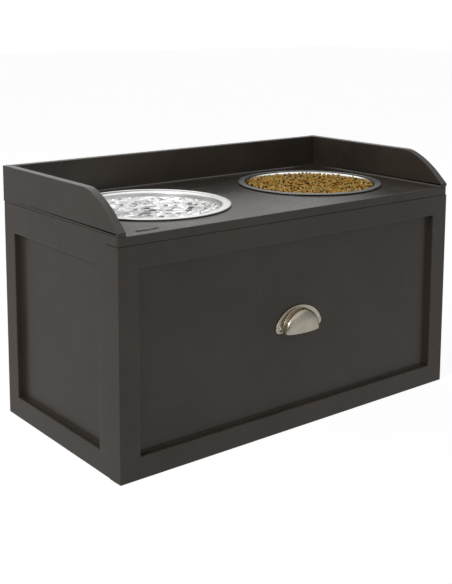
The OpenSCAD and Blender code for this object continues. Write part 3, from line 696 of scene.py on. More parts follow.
@dataclass(frozen=True)
class ClearWater(Finish):
    """Clear water with a fine ripple over the modelled waves."""

    colour: Colour = (0.98, 0.995, 1.0)
    ripple_scale: float = 130.0
    ripple_depth: float = 0.0002

    def wire(self, graph: Graph) -> dict[str, Value]:
        """Plain transmission with a small bump on the surface."""
        ripple = graph.noise(graph.object_place(), self.ripple_scale)
        return {"Base Color": rgba(self.colour), "Transmission Weight": 1.0, "IOR": 1.333,
                "Normal": graph.bump(ripple, self.ripple_depth)}


OUTER_PAINT = Paint("outer_paint", "painted_board", 0.28)
GALLERY_PAINT = Paint("gallery_paint", "painted_board", 0.34, specular=0.32)
INNER_FOIL = Paint("inner_foil", "inner_board", 0.52, colour=(0.062, 0.052, 0.044), wear_and_highlight=1.9,
                   grain=0.0014, grain_depth=0.000045, dust=0.10, specular=0.35)
# The badge's rim is lightened fivefold: partly wear, partly a painted highlight.
BADGE = Paint("badge_coat", "painted_board", 0.24, colour=(0.075, 0.070, 0.064), wear_and_highlight=5.0,
              grain=0.0006, grain_depth=0.00001, dust=0.0)
LEFT_STEEL = PolishedSteel("left_bowl_steel", "bowl_steel", 0.38, colour=(0.95, 0.95, 0.94),
                           flange_colour=(0.95, 0.95, 0.94), centre_x=-0.15, caustic_glow=1.2)
# The right bowl's dark flange colour is painted shade: the same steel, darkened where it reflects
# the dark gallery.
RIGHT_STEEL = PolishedSteel("right_bowl_steel", "bowl_steel", 0.12, colour=(0.84, 0.84, 0.82),
                            flange_colour=(0.24, 0.24, 0.235), flange_haze=0.28, centre_x=0.15)
# The pull's recess and upward faces carry a brown of painted shade, not tarnish.
NICKEL = PlatedMetal("brushed_nickel", "satin_nickel", 0.31, colour=(0.76, 0.70, 0.58),
                     recess=(-0.1438, -0.1492))
SCREW_NICKEL = PlatedMetal("screw_nickel", "satin_nickel", 0.26, colour=(0.66, 0.62, 0.55))
ZINC = PlatedMetal("zinc_plate", "zinc", 0.34, colour=(0.60, 0.60, 0.58), lines=(900.0,) * 3)
ENAMEL = PowderCoat("runner_enamel", "enamelled_steel", 0.36)
NYLON = MouldedPlastic("roller_nylon", "nylon", 0.42)
RUBBER = MouldedPlastic("clear_bumper", "clear_rubber", 0.30, colour=(0.66, 0.67, 0.65),
                        inner_light=0.5)
BEECH = BareWood("beech_dowel", "beech", 0.62)
KIBBLE = DryFood("baked_pellets", "kibble", 0.62)
WATER = ClearWater("clear_water", "water", 0.01)


# Mesh making

CRISP_TURN = math.radians(40)
WELD = 0.00001
POLE = 1e-7


def finished(name: str, work: Mesh, finish: Finish, body: str, replaced: Sequence[str] = (),
             crease: float = 32.0, weighted: bool = True, ease: float = 0.0) -> None:
    """Turns a work mesh into a dressed piece that rides on a body.

    Args:
        name: The piece's name.
        work: Its mesh, which is freed.
        finish: What it is finished in.
        body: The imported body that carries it.
        replaced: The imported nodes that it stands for.
        crease: Edges that turn more than this angle, in degrees, stay crisp.
        weighted: Whether large flat faces keep their shading flat.
        ease: Radius of a rounding on the crisp edges, or none at 0.
    """
    bmesh.ops.recalc_face_normals(work, faces=work.faces)
    mesh = bpy.data.meshes.new(name)
    work.to_mesh(mesh)
    work.free()
    mesh.polygons.foreach_set("use_smooth", [True] * len(mesh.polygons))
    mesh.set_sharp_from_angle(angle=math.radians(crease))
    mesh.materials.append(finish.material())
    piece = bpy.data.objects.new(name, mesh)
    bpy.context.scene.collection.objects.link(piece)
    soften(piece, ease, weighted)
    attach(piece, body)
    if replaced:
        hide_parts(*replaced)
    log.info("%s: %d faces on %s", name, len(mesh.polygons), body)


def soften(piece: bpy.types.Object, ease: float, weighted: bool) -> None:
    """Gives a piece's crisp edges a small rounding and keeps its flat faces flat.

    Args:
        piece: The piece.
        ease: Radius of the rounding, or none at 0.
        weighted: Whether large flat faces keep their shading flat.
    """
    if ease:
        rounding = piece.modifiers.new("eased edges", "BEVEL")
        rounding.width, rounding.segments = ease, 2
        rounding.limit_method, rounding.angle_limit = "ANGLE", CRISP_TURN
    if weighted:
        piece.modifiers.new("flat faces", "WEIGHTED_NORMAL").keep_sharp = True


def dress_nodes(names: Sequence[str], finish: Finish, ease: float = 0.0) -> None:
    """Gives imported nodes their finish, and their edges a small rounding.

    Args:
        names: The nodes.
        finish: What they are finished in.
        ease: Radius of the rounding, or none at 0.
    """
    for name in names:
        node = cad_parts[name]
        node.data.materials.clear()
        node.data.materials.append(finish.material())
        if ease:
            node.modifiers.new("weld", "WELD").merge_threshold = WELD
            soften(node, ease, weighted=True)
        log.info("%s: packed mesh in %s", name, finish.name)


class Facing(Enum):
    """Which way a board's drawing looks."""

    FRONT = "front"
    RIGHT = "right"
    LEFT = "left"
    TOP = "top"

    def place(self, u: float, v: float, reach: float) -> Vector:
        """Returns the point of a drawing that lies at a reach along the facing axis."""
        return Vector({Facing.FRONT: (u, -reach, v), Facing.RIGHT: (reach, u, v),
                       Facing.LEFT: (-reach, u, v), Facing.TOP: (u, v, reach)}[self])


class Outline:
    """A closed line that can be drawn further in or out, with the same number of points."""

    def points(self, inset: float) -> list[Point2]:
        """Returns the points of the line moved inwards by inset."""
        raise NotImplementedError


@dataclass(frozen=True)
class RoundedBox(Outline):
    """A rectangle with rounded corners."""

    left: float
    low: float
    right: float
    high: float
    radius: float = 0.0006
    steps: int = 3
    least_radius: float = 0.0002

    def points(self, inset: float) -> list[Point2]:
        """Draws the rectangle.

        Args:
            inset: How far it is moved inwards.

        Returns:
            Its points.
        """
        r = max(self.radius - inset, self.least_radius)
        x0, y0 = self.left + inset + r, self.low + inset + r
        x1, y1 = self.right - inset - r, self.high - inset - r
        corners = ((x1, y1, 0), (x0, y1, 90), (x0, y0, 180), (x1, y0, 270))
        return [point for x, y, start in corners
                for point in arc(x, y, r, start, start + 90, self.steps)]


@dataclass(frozen=True)
class Round(Outline):
    """A circle or an oval, turned by an angle."""

    x: float
    y: float
    radius: float
    other_radius: float = 0.0
    steps: int = 128
    turn: float = 0.0

    def points(self, inset: float) -> list[Point2]:
        """Draws the oval.

        Args:
            inset: How far it is moved inwards.

        Returns:
            Its points.
        """
        a, b = self.radius - inset, (self.other_radius or self.radius) - inset
        c, s = math.cos(self.turn), math.sin(self.turn)
        turns = turns_round(self.steps)
        flat = [(a * math.cos(turn), b * math.sin(turn)) for turn in turns]
        return [(self.x + u * c - v * s, self.y + u * s + v * c) for u, v in flat]


@dataclass(frozen=True)
class FreeLine(Outline):
    """Any closed line that turns left, mitred at its corners when it is moved inwards."""

    line: tuple[Point2, ...]
    least_stretch: float = 0.3

    def points(self, inset: float) -> list[Point2]:
        """Draws the line.

        Args:
            inset: How far it is moved inwards.

        Returns:
            Its points.
        """
        moved = []
        count = len(self.line)
        for k in range(count):
            before, here, after = (Vector(self.line[(k + step) % count]) for step in (-1, 0, 1))
            first, second = (here - before).normalized(), (after - here).normalized()
            normal = Vector((-first.y - second.y, first.x + second.x)).normalized()
            stretch = max(normal.dot(Vector((-first.y, first.x))), self.least_stretch)
            moved.append(tuple(here + normal * (inset / stretch)))
        return moved


@dataclass(frozen=True)
class Step:
    """One loop of a board's edge: how far in, how high, and how much hands rub it."""

    inset: float
    height: float
    rub: float = 0.0


RUB_BAND = 0.003


def eased(thickness: float, ease: float, steps: int = 4,
          back_ease: float | None = None) -> list[Step]:
    """Returns the edge of a board whose two faces have rounded arrises.

    Args:
        thickness: The board's thickness.
        ease: Radius at the outer face.
        steps: Facets of each rounding.
        back_ease: Radius at the other face, or the same.

    Returns:
        The loops, from the back face to the outer face.
    """
    back = ease if back_ease is None else back_ease
    turns = [math.radians(90 * k / steps) for k in range(steps + 1)]
    loops = [Step(back + RUB_BAND, 0.0)]
    loops += [Step(back * (1 - math.sin(turn)), back * (1 - math.cos(turn)), math.sin(2 * turn))
              for turn in turns]
    if thickness - back - ease > 2 * RUB_BAND:
        loops += [Step(0.0, back + RUB_BAND), Step(0.0, thickness - ease - RUB_BAND)]
    loops += [Step(ease * (1 - math.cos(turn)), thickness - ease * (1 - math.sin(turn)),
                   math.sin(2 * turn)) for turn in turns]
    return loops + [Step(ease + RUB_BAND, thickness)]


def turns_round(steps: int) -> list[float]:
    """Returns the angles of equal steps round a circle."""
    return [2 * math.pi * k / steps for k in range(steps)]


def arc(x: float, y: float, radius: float, start: float, end: float, steps: int) -> list[Point2]:
    """Returns the points of an arc, angles in degrees."""
    turns = [math.radians(start + (end - start) * k / steps) for k in range(steps + 1)]
    return [(x + radius * math.cos(turn), y + radius * math.sin(turn)) for turn in turns]


def wavy_ring(work: Mesh, x: float, radius: float, steps: int,
              height_at: Callable[[float, float], float]) -> list[bmesh.types.BMVert]:
    """Adds a ring of points about an upright axis.

    Args:
        work: The mesh to add to.
        x: Place of the axis.
        radius: The ring's radius; at 0 it is one point, repeated.
        steps: Number of points.
        height_at: Gives the height of a point from its place beside the axis.

    Returns:
        The points.
    """
    if radius < POLE:
        return [work.verts.new((x, 0.0, height_at(0.0, 0.0)))] * steps
    flat = [(radius * math.cos(turn), radius * math.sin(turn)) for turn in turns_round(steps)]
    return [work.verts.new((x + u, v, height_at(u, v))) for u, v in flat]


def ring(work: Mesh, x: float, radius: float, height: float,
         steps: int) -> list[bmesh.types.BMVert]:
    """Adds a level ring of points about an upright axis and returns them."""
    return wavy_ring(work, x, radius, steps, lambda u, v: height)


def skin(work: Mesh, rows: Rows, closed: bool = True) -> None:
    """Covers the bands between neighbouring rows of points.

    Args:
        work: The mesh that holds the points.
        rows: Rows with the same number of points, which may be one point repeated.
        closed: Whether each row's last point joins its first.
    """
    for low, high in zip(rows, rows[1:]):
        for k in range(0 if closed else 1, len(low)):
            corners = list(dict.fromkeys((low[k - 1], low[k], high[k], high[k - 1])))
            if len(corners) > 2:
                work.faces.new(corners)


def board_mesh(facing: Facing, level: float, outer: Outline, edge: Sequence[Step],
               holes: Sequence[tuple[Outline, Sequence[Step]]] = ()) -> Mesh:
    """Builds a flat board with shaped edges, and holes whose edges are shaped too.

    Args:
        facing: Which way the outer face looks.
        level: Where the back face lies along that axis.
        outer: The board's outline.
        edge: Loops of its edge, from the back face to the outer face.
        holes: Outlines of the holes with their own loops; there, inset means into the board.

    Returns:
        The mesh, with how much each point is rubbed in its attribute.
    """
    work = bmesh.new()
    rub = work.verts.layers.float.new("rub")
    ends: tuple[list, list] = ([], [])
    for outline, loops, side in [(outer, edge, 1)] + [(o, e, -1) for o, e in holes]:
        rows = []
        for loop in loops:
            row = []
            for u, v in outline.points(side * loop.inset):
                vert = work.verts.new(facing.place(u, v, level + loop.height))
                vert[rub] = loop.rub
                row.append((vert, Vector((u, v, 0.0))))
            rows.append(row)
        skin(work, [[vert for vert, _ in row] for row in rows])
        ends[0].append(rows[0])
        ends[1].append(rows[-1])
    for rings in ends:
        flat = [vert for row in rings for vert, _ in row]
        for corners in geometry.tessellate_polygon([[point for _, point in row] for row in rings]):
            work.faces.new([flat[k] for k in corners])
    return work


# The cabinet


@dataclass
class Cabinet:
    """Painted carcass: side frames, top board, gallery and the bare oval plate."""

    half_width: float = 0.300
    side_back: float = 0.290
    front: float = -0.150
    back: float = 0.150
    carcass_front: float = -0.124
    body_height: float = 0.300
    board_ease: float = 0.0004
    frame_thickness: float = 0.009
    front_stile: float = 0.024
    back_stile: float = 0.029
    rail: float = 0.030
    opening_corner: float = 0.0003
    ledge_width: float = 0.0017
    ledge_height: float = 0.001
    ledge_ease: float = 0.0002
    opening_chamfer: float = 0.0008
    glue_gap: float = 0.0001
    top_thickness: float = 0.012
    top_corner: float = 0.0035
    ease: float = 0.0014
    under_ease: float = 0.0004
    frame_ease: float = 0.0006
    hole_x: float = 0.150
    hole_radius: float = 0.100
    hole_ease: float = 0.001
    gallery_height: float = 0.051
    gallery_thickness: float = 0.012
    gallery_ease: float = 0.001
    nose: float = 0.0047
    nose_round: float = 0.002
    shoulder: float = 0.045
    shoulder_angle: float = 20.0
    sweep: float = 0.150
    slope_angle: float = 42.0
    foot_gap: float = 0.0002
    foot_inset: float = 0.0022
    foot_sink: float = 0.0002
    foot_overlap: float = 0.0004
    caulk: float = 0.0019
    caulk_depth: float = 0.0008
    badge_place: Point2 = (-0.2450, -0.1305)
    badge_size: Point2 = (0.0190, 0.0056)
    badge_turn: float = 2.0
    badge_thickness: float = 0.0011
    badge_rim: float = 0.0022
    badge_rim_height: float = 0.0004

    @property
    def deck(self) -> float:
        """Returns the height of the top board's upper face."""
        return self.body_height + self.top_thickness

    def build(self) -> None:
        """Builds and dresses every piece of the cabinet."""
        self.dress()
        self.side_frames()
        self.top_board()
        self.gallery()
        self.caulk_line()
        self.badge()

    def dress(self) -> None:
        """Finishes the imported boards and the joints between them."""
        dress_nodes(["side_board_left", "side_board_right", "bottom_panel", "front_rail"],
                    INNER_FOIL, self.board_ease)
        dress_nodes(["back_panel"], INNER_FOIL)
        for side in SIDES:
            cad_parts[f"side_board_{side}"].data.materials[0] = OUTER_PAINT.material()
        dress_nodes(["cabinet_cams", "cabinet_cam_bolts", "gallery_screws"], ZINC)
        dress_nodes(["cabinet_dowels"], BEECH)

    def panel_frame(self, facing: Facing, level: float, outer: RoundedBox,
                    opening: RoundedBox) -> Mesh:
        """Builds a glued frame: square at its back, with a stepped, chamfered opening.

        Args:
            facing: Which way it looks.
            level: Where its back lies along that axis.
            outer: Its outline.
            opening: The outline of its opening.

        Returns:
            The mesh.
        """
        t, chamfer, soft = self.frame_thickness, self.opening_chamfer, self.ledge_ease
        ledge, lift = -self.ledge_width, self.ledge_height
        loops = [Step(ledge - self.glue_gap, 0.0), Step(ledge, 0.0), Step(ledge, lift - soft, 0.4),
                 Step(ledge + soft, lift, 0.4), Step(0.0, lift), Step(0.0, lift + RUB_BAND),
                 Step(0.0, t - chamfer - 0.0012), Step(0.0, t - chamfer, 0.7),
                 Step(chamfer * 0.35, t - chamfer * 0.35, 1.0), Step(chamfer, t, 0.7),
                 Step(chamfer + RUB_BAND, t)]
        edge = eased(t, self.frame_ease, 3, self.glue_gap)
        return board_mesh(facing, level, outer, edge, [(opening, loops)])

    def side_frames(self) -> None:
        """Builds the frame glued to each side."""
        outer = RoundedBox(self.carcass_front, 0.0, self.back, self.body_height)
        opening = RoundedBox(self.carcass_front + self.front_stile, self.rail,
                             self.back - self.back_stile, self.body_height - self.rail,
                             self.opening_corner)
        for facing in (Facing.LEFT, Facing.RIGHT):
            work = self.panel_frame(facing, self.side_back, outer, opening)
            finished(f"side_panel_frame_{facing.value}", work, OUTER_PAINT, "cabinet",
                     [f"side_frame_{facing.value}"])

    def top_board(self) -> None:
        """Builds the top board with its two bowl holes."""
        outer = RoundedBox(-self.half_width, self.front, self.half_width, self.back,
                           self.top_corner, 6)
        hole_edge = eased(self.top_thickness, self.hole_ease, 3, self.under_ease)
        holes = [(Round(x, 0.0, self.hole_radius), hole_edge) for x in (-self.hole_x, self.hole_x)]
        work = board_mesh(Facing.TOP, self.body_height, outer,
                          eased(self.top_thickness, self.ease, 5, self.under_ease), holes)
        finished("feeding_top", work, OUTER_PAINT, "cabinet", ["top_board"])

    def side_line(self) -> tuple[Point2, ...]:
        """Returns the side view of a gallery side, turning left, as (y, z)."""
        low, high = self.deck, self.deck + self.gallery_height
        shoulder, slope = math.radians(self.shoulder_angle), math.radians(self.slope_angle)
        shoulder_drop = self.shoulder * (1 - math.cos(shoulder))
        sweep_drop = self.sweep * (math.cos(shoulder) - math.cos(slope))
        slope_drop = self.gallery_height - self.nose - shoulder_drop - sweep_drop
        shoulder_run = self.shoulder * math.sin(shoulder)
        sweep_run = self.sweep * (math.sin(slope) - math.sin(shoulder))
        curve = self.front + slope_drop / math.tan(slope) + sweep_run + shoulder_run
        drop = self.nose_round * math.tan((math.pi / 2 - slope) / 2)
        foot = low + self.foot_gap
        line = [(self.back, foot), (self.back, high)]
        line += arc(curve, high - self.shoulder, self.shoulder, 90, 90 + self.shoulder_angle, 10)
        line += arc(curve - shoulder_run + self.sweep * math.sin(shoulder),
                    high - shoulder_drop - self.sweep * math.cos(shoulder), self.sweep,
                    90 + self.shoulder_angle, 90 + self.slope_angle, 16)[1:]
        line += arc(self.front + self.nose_round, low + self.nose - drop, self.nose_round,
                    90 + self.slope_angle, 180, 6)
        return (*line, (self.front, foot))

    def gallery(self) -> None:
        """Builds the back board and the two curved sides of the gallery."""
        inner = self.half_width - self.gallery_thickness
        back_line = RoundedBox(-inner, self.deck + self.foot_gap, inner,
                               self.deck + self.gallery_height)
        self.gallery_board("back", Facing.FRONT, -self.back, (-inner, inner), back_line,
                           GALLERY_PAINT)
        for facing in (Facing.LEFT, Facing.RIGHT):
            self.gallery_board(f"side_{facing.value}", facing, inner, (self.front, self.back),
                               FreeLine(self.side_line()), OUTER_PAINT)

    def gallery_board(self, name: str, facing: Facing, level: float, ends: Point2,
                      outline: Outline, finish: Finish) -> None:
        """Builds one gallery board and its foot, which is set back all round.

        Args:
            name: The node's name after gallery_.
            facing: Which way its outer face looks.
            level: Where its back face lies along that axis.
            ends: Where it starts and ends.
            outline: Its outline.
            finish: Its paint.
        """
        work = board_mesh(facing, level, outline, eased(self.gallery_thickness, self.gallery_ease))
        finished(f"gallery_board_{name}", work, finish, "cabinet", [f"gallery_{name}"])
        inset = self.foot_inset
        line = RoundedBox(ends[0] + inset, self.deck - self.foot_sink, ends[1] - inset,
                          self.deck + self.foot_gap + self.foot_overlap)
        work = board_mesh(facing, level + inset, line,
                          eased(self.gallery_thickness - 2 * inset, 0.0001, 1))
        finished(f"gallery_foot_{name}", work, finish, "cabinet")

    def caulk_line(self) -> None:
        """Runs the slanting bead of filler along the foot of the gallery's inner faces."""
        x, y = self.half_width - self.gallery_thickness, self.back - self.gallery_thickness
        r, buried, start = self.caulk, self.caulk_depth, self.front + self.ease
        section = [(0.0, r), (0.15 * r, 0.72 * r), (0.72 * r, 0.15 * r), (r, 0.0), (r, -buried),
                   (-buried, -buried), (-buried, r)]
        path = [((-x, start), (1, 0)), ((-x, y), (1, -1)), ((x, y), (-1, -1)),
                ((x, start), (-1, 0))]
        work = bmesh.new()
        rub = work.verts.layers.float.new("rub")
        rows = [[work.verts.new((px + nx * out, py + ny * out, self.deck + up))
                 for out, up in section] for (px, py), (nx, ny) in path]
        for vert in work.verts:
            vert[rub] = 0.3
        skin(work, rows)
        work.faces.new(rows[0])
        work.faces.new(rows[-1])
        finished("caulk_line", work, OUTER_PAINT, "cabinet")

    def badge(self) -> None:
        """Lays the bare oval plate with its raised middle near the front left corner."""
        rim, low, t = self.badge_rim, self.badge_rim_height, self.badge_thickness
        outline = Round(*self.badge_place, *self.badge_size, 72, math.radians(self.badge_turn))
        edge = [Step(0.0002, 0.0), Step(0.0, 0.0001, 0.4), Step(0.0001, low - 0.0001, 0.8),
                Step(0.0003, low, 1.0), Step(rim - 0.0006, low, 1.0), Step(rim, low),
                Step(rim + 0.0001, t - 0.0003), Step(rim + 0.0004, t, 0.3), Step(rim + 0.0012, t)]
        finished("oval_plate", board_mesh(Facing.TOP, self.deck, outline, edge), BADGE, "cabinet")


# The drawer


@dataclass
class Drawer:
    """Drawer box with its overlay front."""

    half_width: float = 0.300
    low: float = 0.0006
    high: float = 0.2994
    field: float = 0.141
    frame_width: float = 0.030
    opening_low: float = 0.030
    opening_high: float = 0.270
    opening_corner: float = 0.0003
    front_ease: float = 0.0005
    box_ease: float = 0.0004

    def build(self, cabinet: Cabinet) -> None:
        """Builds and dresses every piece of the drawer.

        Args:
            cabinet: The cabinet, whose side frames the front's frame matches.
        """
        dress_nodes(["drawer_front_board"], OUTER_PAINT, self.front_ease)
        dress_nodes(["drawer_side_left", "drawer_side_right", "drawer_back"], INNER_FOIL,
                    self.box_ease)
        dress_nodes(["drawer_bottom"], INNER_FOIL)
        dress_nodes(["drawer_cams", "drawer_cam_bolts", "drawer_screws"], ZINC)
        dress_nodes(["drawer_bumpers"], RUBBER)
        outer = RoundedBox(-self.half_width, self.low, self.half_width, self.high)
        opening = RoundedBox(-self.half_width + self.frame_width, self.opening_low,
                             self.half_width - self.frame_width, self.opening_high,
                             self.opening_corner)
        work = cabinet.panel_frame(Facing.FRONT, self.field, outer, opening)
        finished("drawer_panel_frame", work, OUTER_PAINT, "drawer", ["drawer_front_frame"])


@dataclass
class CupPull:
    """Cast cup pull: half-oval flange, foot, crease and dome, with two cross-head screws."""

    base_z: float = 0.140
    field: float = 0.141
    width: float = 0.087
    height: float = 0.035
    flange: float = 0.0025
    flange_ease: float = 0.0007
    corner: float = 0.007
    cup_radius: float = 0.031
    depth: float = 0.0186
    wall: float = 0.0022
    foot_fillet: float = 0.0006
    foot_draft: float = 0.0005
    crease_height: float = 0.0068
    crease_half: float = 0.0009
    crease_depth: float = 0.0013
    crease_round: float = 0.0003
    squareness: float = 2.3
    lip_ease: float = 0.0007
    screw_x: float = 0.0355
    screw_z: float = 0.008
    screw_radius: float = 0.0032
    screw_rise: float = 0.0013
    screw_sunk: float = -0.0006
    cross_half: float = 0.00045
    cross_reach: float = 0.0019
    cross_draft: float = 0.0003
    cross_depth: float = 0.0010
    cross_floor: float = -0.0004

    def build(self) -> None:
        """Builds the pull and its screws."""
        finished("cup_pull_casting", self.casting(), NICKEL, "drawer", ["cup_pull"], 40,
                 ease=self.lip_ease)
        finished("pull_screw_heads", self.screws(), SCREW_NICKEL, "drawer", ["pull_screws"], 40)

    def place(self, u: float, v: float, height: float) -> Vector:
        """Returns the point u across, v above the open edge and height out from the front."""
        return Vector((u, -self.field - height, self.base_z + v))

    def flange_line(self) -> list[Point2]:
        """Returns the flange's outline from its right foot over the oval to its left foot."""
        start, across, steps = math.asin(self.corner / self.height), self.width / 2, 28
        line = [(self.cup_radius + self.foot_fillet, 0.0)]
        line += arc(across * math.cos(start) - self.corner, self.corner, self.corner, -90, 0, 10)
        for k in range(1, steps + 1):
            turn = start + (math.pi / 2 - start) * k / steps
            line.append((across * math.cos(turn), self.height * math.sin(turn)))
        return line + [(-x, y) for x, y in reversed(line[:-1])]

    def casting(self) -> Mesh:
        """Builds flange, foot, crease, dome and hollow as one closed mesh."""
        work = bmesh.new()
        line = self.flange_line()
        turns = [math.pi * k / (len(line) - 1) for k in range(len(line))]
        skins = [[[(r * math.cos(t), r * math.sin(t), h) for t in turns] for r, h in profile]
                 for profile in self.cup_profiles()]
        flange = [self.flange_row(line, inset, height) for inset, height in self.flange_steps()]
        grid, hollow = ([[work.verts.new(self.place(*point)) for point in row] for row in rows]
                        for rows in (flange + skins[0], skins[1]))
        for rows in (grid, hollow, (grid[0], hollow[0])):
            skin(work, rows, closed=False)
        for side in (0, -1):
            edge = [row[side] for row in grid] + [row[side] for row in reversed(hollow)]
            flat = [Vector((vert.co.x, vert.co.y, 0.0)) for vert in edge]
            for corners in geometry.tessellate_polygon([flat]):
                work.faces.new([edge[k] for k in corners])
        bmesh.ops.remove_doubles(work, verts=work.verts, dist=WELD)
        open_edge = [edge for edge in work.edges
                     if all(vert.co.z < self.base_z + 1e-6 for vert in edge.verts)]
        bmesh.ops.dissolve_limit(work, angle_limit=0.001, verts=work.verts, edges=open_edge)
        return work

    def flange_steps(self) -> list[Point2]:
        """Returns the flange's edge as (inset, height) from the drawer front outwards."""
        e = self.flange_ease
        turns = [math.radians(angle) for angle in (22.5, 45, 67.5, 90)]
        return [(0.0, 0.0), (0.0, self.flange - e)] + \
            [(e * (1 - math.cos(turn)), self.flange - e * (1 - math.sin(turn))) for turn in turns]

    def flange_row(self, line: list[Point2], inset: float, height: float) -> list[Point3]:
        """Returns the flange's outline moved inwards, its feet kept on the open edge.

        Args:
            line: The outline.
            inset: How far it is moved inwards.
            height: How far it lies out from the drawer front.

        Returns:
            The points.
        """
        row, last = [], len(line) - 1
        for k, (u, v) in enumerate(line):
            before, after = Vector(line[max(k - 1, 0)]), Vector(line[min(k + 1, last)])
            along = (after - before).normalized()
            if k not in (0, last):
                u, v = u - along.y * inset, v + along.x * inset
            row.append((u, max(v, 0.0), height))
        return row

    def dome(self, radius: float, start: float, end: float, steps: int) -> list[Point2]:
        """Returns a dome's profile.

        Args:
            radius: Radius of its widest ring.
            start: Height of that ring.
            end: Height of its pole.
            steps: Number of rings.

        Returns:
            Points (radius, height) from the widest ring to the pole.
        """
        power = 2 / self.squareness
        turns = [math.pi / 2 * k / steps for k in range(steps)]
        return [(radius * math.cos(t) ** power, start + (end - start) * math.sin(t) ** power)
                for t in turns] + [(0.0, end)]

    def cup_profiles(self) -> tuple[list[Point2], list[Point2]]:
        """Returns the outer and inner skins of the cup as (radius, height), foot to pole."""
        f, r, h, w = self.foot_fillet, self.cup_radius, self.crease_height, self.crease_half
        soft, sunk = self.crease_round, r - self.crease_depth
        foot = [math.radians(angle) for angle in (0, 30, 60, 90)]
        outer = [(r + f * (1 - math.sin(turn)), self.flange + f * (1 - math.cos(turn)))
                 for turn in foot]
        outer += [(r - self.foot_draft, h - w - soft), (r - self.foot_draft - soft, h - w),
                  (sunk, h - w * 0.25), (sunk, h + w * 0.25), (r - soft, h + w)]
        outer += self.dome(r, h + w + soft, self.depth, 22)
        inner = [(r - self.wall, 0.0)] + self.dome(r - self.wall, h, self.depth - self.wall, 14)
        return outer, inner

    def screws(self) -> Mesh:
        """Builds the two raised heads with their cross recesses."""
        work = bmesh.new()
        rings, turns = 12, turns_round(48)
        for x in (-self.screw_x, self.screw_x):
            rows = []
            for step in (0, *range(rings)):
                r = self.screw_radius * (1 - step / rings)
                row = []
                for turn in turns:
                    u, v = r * math.cos(turn), r * math.sin(turn)
                    rise = self.head_height(u, v) if rows else self.screw_sunk
                    row.append(work.verts.new(self.place(x + u, self.screw_z + v,
                                                         self.flange + rise)))
                rows.append(row)
            skin(work, rows)
            work.faces.new(rows[-1])
            work.faces.new(rows[0])
        return work

    def head_height(self, u: float, v: float) -> float:
        """Returns the height of a screw's domed head at a point.

        Args:
            u: The point's place across the head.
            v: The point's place up the head.

        Returns:
            The height over the flange, with the cross cut into it.
        """
        a, b = abs(u + v) / math.sqrt(2), abs(u - v) / math.sqrt(2)
        dome = self.screw_rise * (1 - (math.hypot(u, v) / self.screw_radius) ** 2)
        arm = min(max(across - self.cross_half, 0.0) + max(along - self.cross_reach, 0.0)
                  for across, along in ((a, b), (b, a)))
        cut = max(0.0, 1 - arm / self.cross_draft)
        return max(dome - self.cross_depth * cut, self.cross_floor)


# The runners


@dataclass
class Runners:
    """Roller runners between the cabinet and the drawer."""

    ease: float = 0.0002
    fixings: tuple[str, ...] = ("runner_cabinet_screws", "runner_drawer_screws",
                                "front_roller_rivets", "rear_roller_rivets")

    def build(self) -> None:
        """Dresses the runner steel, the rollers and their fixings."""
        for side in SIDES:
            dress_nodes([f"runner_cabinet_{side}", f"runner_drawer_{side}"], ENAMEL, self.ease)
            dress_nodes([f"front_roller_{side}", f"rear_roller_{side}"], NYLON)
        dress_nodes(self.fixings, ZINC)


# The bowls and what is in them


@dataclass
class Bowl:
    """A spun steel bowl: rolled bead, flat flange, tapered wall, round corner, pressed floor."""

    side: str
    steel: PolishedSteel
    x: float
    steps: int = 144
    rim_radius: float = 0.112
    bead_radius: float = 0.0013
    bead_z: float = 0.3136
    bead_turn: float = 155.0
    sheet: float = 0.0012
    lip_radius: float = 0.0030
    lip_x: float = 0.1015
    lip_z: float = 0.3100
    taper: float = 10.0
    corner_radius: float = 0.024
    corner_x: float = 0.06726
    corner_z: float = 0.2782
    floor_z: float = 0.2542
    press_radius: float = 0.046
    press_height: float = 0.0008

    def floor_skin(self, lift: float) -> list[Point2]:
        """Returns the pressed floor from the corner to the centre, for the skin at that lift."""
        z, p, h = self.floor_z + lift, self.press_radius, self.press_height
        return [(p + 0.006, z), (p + 0.004, z + h * 0.15), (p + 0.002, z + h * 0.75), (p, z + h),
                (p - 0.006, z + h), (p - 0.03, z + h), (0.0, z + h)]

    def build(self) -> None:
        """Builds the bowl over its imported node."""
        end = 180 - self.taper
        upper = arc(self.lip_x, self.lip_z, self.lip_radius + self.sheet, 90, end, 12)
        upper += arc(self.corner_x, self.corner_z, self.corner_radius, -self.taper, -90, 14)
        upper += self.floor_skin(0.0)
        under = self.floor_skin(-self.sheet)[::-1]
        under += arc(self.corner_x, self.corner_z, self.corner_radius + self.sheet, -90,
                     -self.taper, 14)
        under += arc(self.lip_x, self.lip_z, self.lip_radius, end, 90, 10)
        bead = arc(self.rim_radius - self.bead_radius, self.bead_z, self.bead_radius,
                   -self.bead_turn, self.bead_turn, 16)
        work = bmesh.new()
        rows = [ring(work, self.x, radius, height, self.steps)
                for radius, height in upper + under + bead]
        skin(work, rows + rows[:1])
        name = f"bowl_{self.side}"
        finished(f"steel_{name}", work, self.steel, name, [name], crease=50)

    def wall_radius(self, z: float) -> float:
        """Returns the inner radius of the tapered wall at a height above its round corner."""
        slope, radius = math.radians(self.taper), self.lip_radius + self.sheet
        start_x = self.lip_x - radius * math.cos(slope)
        start_z = self.lip_z + radius * math.sin(slope)
        return start_x - (start_z - z) * math.tan(slope)


